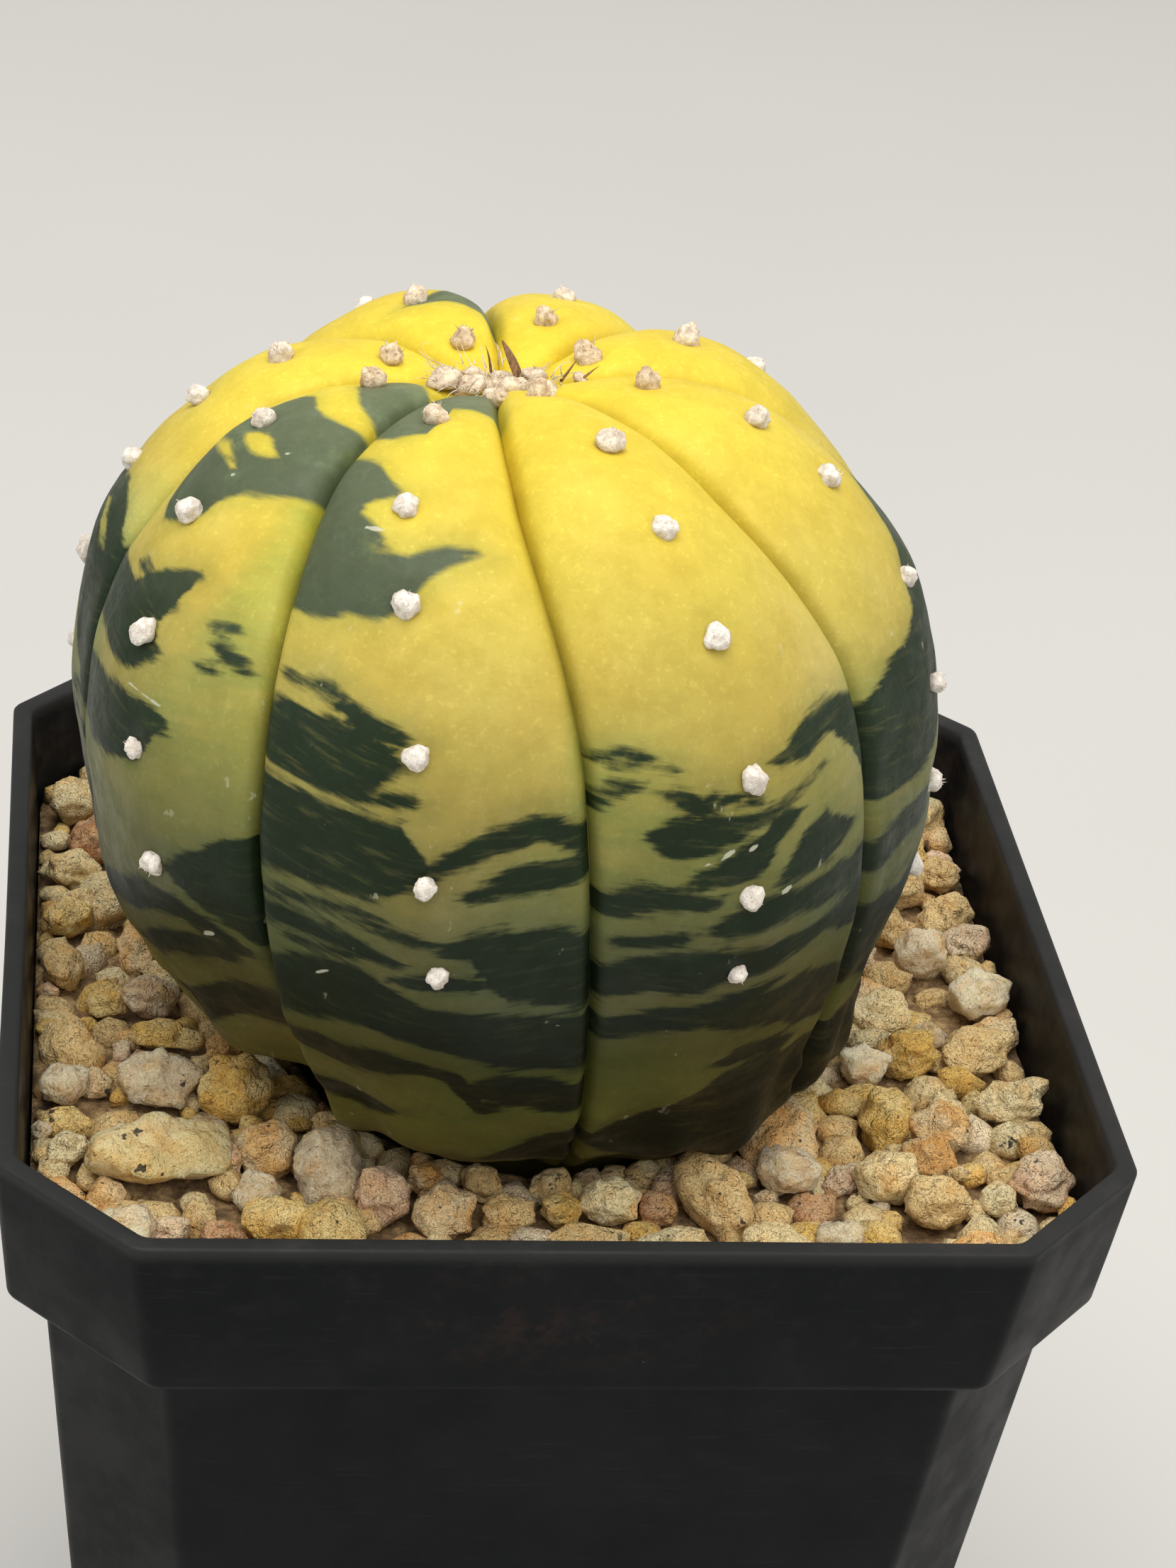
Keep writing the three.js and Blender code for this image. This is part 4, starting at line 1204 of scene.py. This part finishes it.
def make_gravel_bed():
    """The fine grit that the stones lie in, with a bumpy top between the pot and the cactus."""
    top, foot = GRAVEL_BED - 0.5, RIM - GRAVEL_FOOT_DEPTH
    level, chamfer = collar(top, LIP_WALL)
    level -= GAP
    outer = square_outline(level, chamfer, 0.9, 5, 60)
    inner = FOOT_CENTRE + (GROUND_RADIUS + 2 * GAP) * unit(outer - FOOT_CENTRE)
    flat = lerp(outer[None], inner[None], np.linspace(0, 1, BED_STEPS)[:, None, None])
    points = np.concatenate([flat, np.full(flat.shape[:2] + (1,), top)], -1)
    points[..., 2] += 0.35 * noise(points, 1.6, 41) + 0.2 * noise(points, 0.8, 42)
    ledge = COLLAR_FOOT + BODY_WALL + GAP
    shrink = (body_half(foot) - BODY_WALL - GAP) / level
    lower = [(inner, foot), (outer * shrink, foot), (outer * shrink, ledge), (outer * 0.994, ledge)]
    rings = np.array([*points, *(at_height(ring, z) for ring, z in lower), points[0]])
    bed = Shape()
    bed.add(rings.reshape(-1, 3), ring_faces(*rings.shape[:2]))
    piece = bed.make("gravel_bed", dark_grit())
    merge_points(piece)
    return piece


def merge_points(piece):
    mesh = bmesh.new()
    mesh.from_mesh(piece.data)
    bmesh.ops.remove_doubles(mesh, verts=mesh.verts, dist=1e-7)
    bmesh.ops.recalc_face_normals(mesh, faces=mesh.faces)
    mesh.to_mesh(piece.data)
    mesh.free()


# Pot

def body_half(z):
    """Half width of the pot below its collar."""
    return BODY_HALF - WALL_TAPER * (COLLAR_FOOT - z)


def eased(rings, ease=0.35, steps=4):
    """Rounds each bend of a profile of (half width, chamfer, height) rings."""
    rings = [np.array(ring, float) for ring in rings]
    made = [rings[0]]
    for before, here, after in zip(rings, rings[1:], rings[2:]):
        ends = []
        for other in (before, after):
            length = np.linalg.norm(other - here)
            ends.append(here + (other - here) * min(ease / length, 0.45))
        for t in np.linspace(0, 1, steps):
            made.append((1 - t) ** 2 * ends[0] + 2 * t * (1 - t) * here + t**2 * ends[1])
    return [*made, rings[-1]]


def make_pot():
    ledge = COLLAR_FOOT + BODY_WALL
    inner_floor = FOOT_RECESS + POT_FLOOR
    inner_chamfer = BODY_CHAMFER - BODY_WALL * (2 - math.sqrt(2))
    base_half = body_half(0)
    bar_chamfer = BODY_CHAMFER - FOOT_BAR * (2 - math.sqrt(2))
    profile = eased([
        (base_half - FOOT_BAR - 8, bar_chamfer, FOOT_RECESS),
        (base_half - FOOT_BAR, bar_chamfer, FOOT_RECESS),
        (base_half - FOOT_BAR, bar_chamfer, 0),
        (base_half, BODY_CHAMFER, 0),
        (body_half(24), BODY_CHAMFER, 24),
        (body_half(46), BODY_CHAMFER, 46),
        (BODY_HALF, BODY_CHAMFER, COLLAR_FOOT),
        (COLLAR_FOOT_HALF - COLLAR_EDGE, COLLAR_FOOT_CHAMFER, COLLAR_FOOT),
        (COLLAR_FOOT_HALF, COLLAR_FOOT_CHAMFER, COLLAR_FOOT + COLLAR_EDGE),
        (*collar(RIM - 6), RIM - 6),
        (*collar(RIM), RIM),
        (*collar(RIM, LIP_WALL), RIM),
        (*collar(RIM - 5, LIP_WALL), RIM - 5),
        (*collar(ledge, LIP_WALL), ledge),
        (body_half(ledge) - BODY_WALL, inner_chamfer, ledge),
        (body_half(inner_floor) - BODY_WALL, inner_chamfer, inner_floor),
        (body_half(inner_floor) - BODY_WALL - 8, inner_chamfer, inner_floor),
    ])
    rings = np.array([
        at_height(square_outline(half, chamfer, CORNER_ROUND, 6, 12), z)
        for half, chamfer, z in profile
    ])
    # The walls bow a little, but nothing stands past the rim's corners
    bow = 0.16 * noise(rings * (1, 1, 0.6), 22, 51) * smoothstep(rings[..., 2], 4, 20)
    bow = np.where(rings[..., 2] > RIM - 1, np.minimum(bow, 0), bow)
    rings[..., :2] += unit(rings[..., :2]) * (bow - 0.1)[..., None]

    flat = rings.reshape(-1, 3)
    x, y, z = flat.T
    last, count = len(flat), rings.shape[1]
    rim_ring = next(i for i, ring in enumerate(profile) if ring[2] > RIM - 0.2)
    inside = np.repeat(np.arange(len(rings)), count) > rim_ring
    dusty = 0.08 + 0.35 * smoothstep(z, RIM - 14, RIM - 1) + 0.6 * inside
    stain = ((x + 1) / 11) ** 2 + ((z - RIM + 4.5) / 3.2) ** 2
    stained = np.where(y < -20, smoothstep(-stain, -1.3, -0.4), 0) + 0.8 * inside * (x > 20)
    faces = ring_faces(*rings.shape[:2])
    faces += fan_faces(last, 0, count) + fan_faces(last + 1, last - count, count, True)
    pot = Shape()
    pot.add(
        np.vstack([flat, [0, 0, FOOT_RECESS], [0, 0, inner_floor]]), faces,
        dusty=np.append(dusty, (0.3, 0.3)), stained=np.append(stained, (0, 0)),
    )
    piece = pot.make("nursery_pot", pot_plastic())
    cut_drain_holes(piece)
    piece.data.shade_smooth()
    return piece


def cut_drain_holes(piece):
    cutters = Shape()
    sides = 32
    ends = (FOOT_RECESS - 1, FOOT_RECESS + POT_FLOOR + 1)
    faces = ring_faces(2, sides) + fan_faces(2 * sides, 0, sides)
    faces += fan_faces(2 * sides + 1, sides, sides, True)
    for spot in ((0, 0), (1, 1), (1, -1), (-1, -1), (-1, 1)):
        centre = np.array(spot) * DRAIN_SPREAD
        edge = centre + DRAIN_RADIUS * circle(sides)
        rings = [at_height(ring, z) for ring in (edge, centre[None]) for z in ends]
        cutters.add(np.vstack(rings), faces)
    cutter = cutters.make("drain_holes", piece.data.materials[0], False)
    cut = piece.modifiers.new("drain", "BOOLEAN")
    cut.operation, cut.object, cut.solver = "DIFFERENCE", cutter, "EXACT"
    shape = piece.evaluated_get(bpy.context.evaluated_depsgraph_get())
    mesh = bpy.data.meshes.new_from_object(shape)
    piece.modifiers.clear()
    piece.data = mesh
    bpy.data.objects.remove(cutter)


# Stage, in metres apart from the floor

FLOOR_REACH = 3000
WORLD_COLOUR, WORLD_STRENGTH = (1.0, 0.99, 0.965, 1), 0.60
LIGHT_AIM = (0, 0, 0.09)
# Name, place, size, power in watts, colour
LIGHTS = [
    ("key", (-0.03, -0.10, 0.76), 0.75, 4.9, (1.0, 0.985, 0.96)),
    ("front_fill", (0.22, -0.62, 0.62), 0.5, 1.5, (1.0, 0.99, 0.97)),
    ("left_fill", (-0.75, -0.15, 0.40), 0.6, 1.3, (0.96, 0.98, 1.0)),
    ("right_fill", (0.75, 0.10, 0.35), 0.6, 0.8, (1.0, 0.98, 0.96)),
]


def make_stage():
    floor = Shape()
    corners = np.array([(-1, -1, 0), (1, -1, 0), (1, 1, 0), (-1, 1, 0)], float)
    floor.add(corners * FLOOR_REACH, [[0, 1, 2, 3]])
    floor.make("floor", pale_floor(), False)


def make_lights():
    world = bpy.data.worlds.new("studio")
    world.use_nodes = True
    background = world.node_tree.nodes["Background"].inputs
    background["Color"].default_value = WORLD_COLOUR
    background["Strength"].default_value = WORLD_STRENGTH
    bpy.context.scene.world = world
    for name, place, size, power, colour in LIGHTS:
        data = bpy.data.lights.new(name, "AREA")
        data.shape, data.size, data.energy, data.color = "DISK", size, power, colour
        lamp = bpy.data.objects.new(name, data)
        lamp.location = place
        lamp.rotation_euler = (Vector(LIGHT_AIM) - Vector(place)).to_track_quat("-Z", "Y").to_euler()
        bpy.context.scene.collection.objects.link(lamp)


def make_camera():
    yaw, pitch, roll = (math.radians(a) for a in (CAMERA_YAW, CAMERA_PITCH, CAMERA_ROLL))
    ahead = math.cos(pitch)
    forward = Vector((math.sin(yaw) * ahead, math.cos(yaw) * ahead, -math.sin(pitch)))
    level = Vector((math.cos(yaw), -math.sin(yaw), 0))
    above = level.cross(forward)
    right = math.cos(roll) * level + math.sin(roll) * above
    up = -math.sin(roll) * level + math.cos(roll) * above
    data = bpy.data.cameras.new("photo_camera")
    data.sensor_fit, data.sensor_width = "AUTO", SENSOR
    data.lens = SENSOR * FOCAL_PIXELS / max(PHOTO_WIDTH, PHOTO_HEIGHT)
    data.clip_start, data.clip_end = 0.01, 20
    camera = bpy.data.objects.new("photo_camera", data)
    turn = Matrix((right, up, -forward)).transposed().to_4x4()
    camera.matrix_world = Matrix.Translation(CAMERA_PLACE) @ turn
    bpy.context.scene.collection.objects.link(camera)
    bpy.context.scene.camera = camera


def dress():
    plan = [
        (make_cactus_body(), "cactus", "cactus_flesh"), (make_areoles(), "cactus", "wool"),
        (make_crown_tufts(), "crown_wool", "wool"), (make_dry_bract(), "crown_wool", "wool"),
        (make_pot(), "pot", "pot_plastic"),
    ]
    plan += [(piece, "gravel", "gravel") for piece in make_gravel()]
    for piece, node, slot in plan:
        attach(piece, "root")
        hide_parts(node)
    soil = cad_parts["soil"]
    soil.data.materials.clear()
    soil.data.materials.append(potting_soil())


make_camera()
make_stage()
make_lights()
dress()
bpy.context.scene.view_settings.view_transform = "Standard"
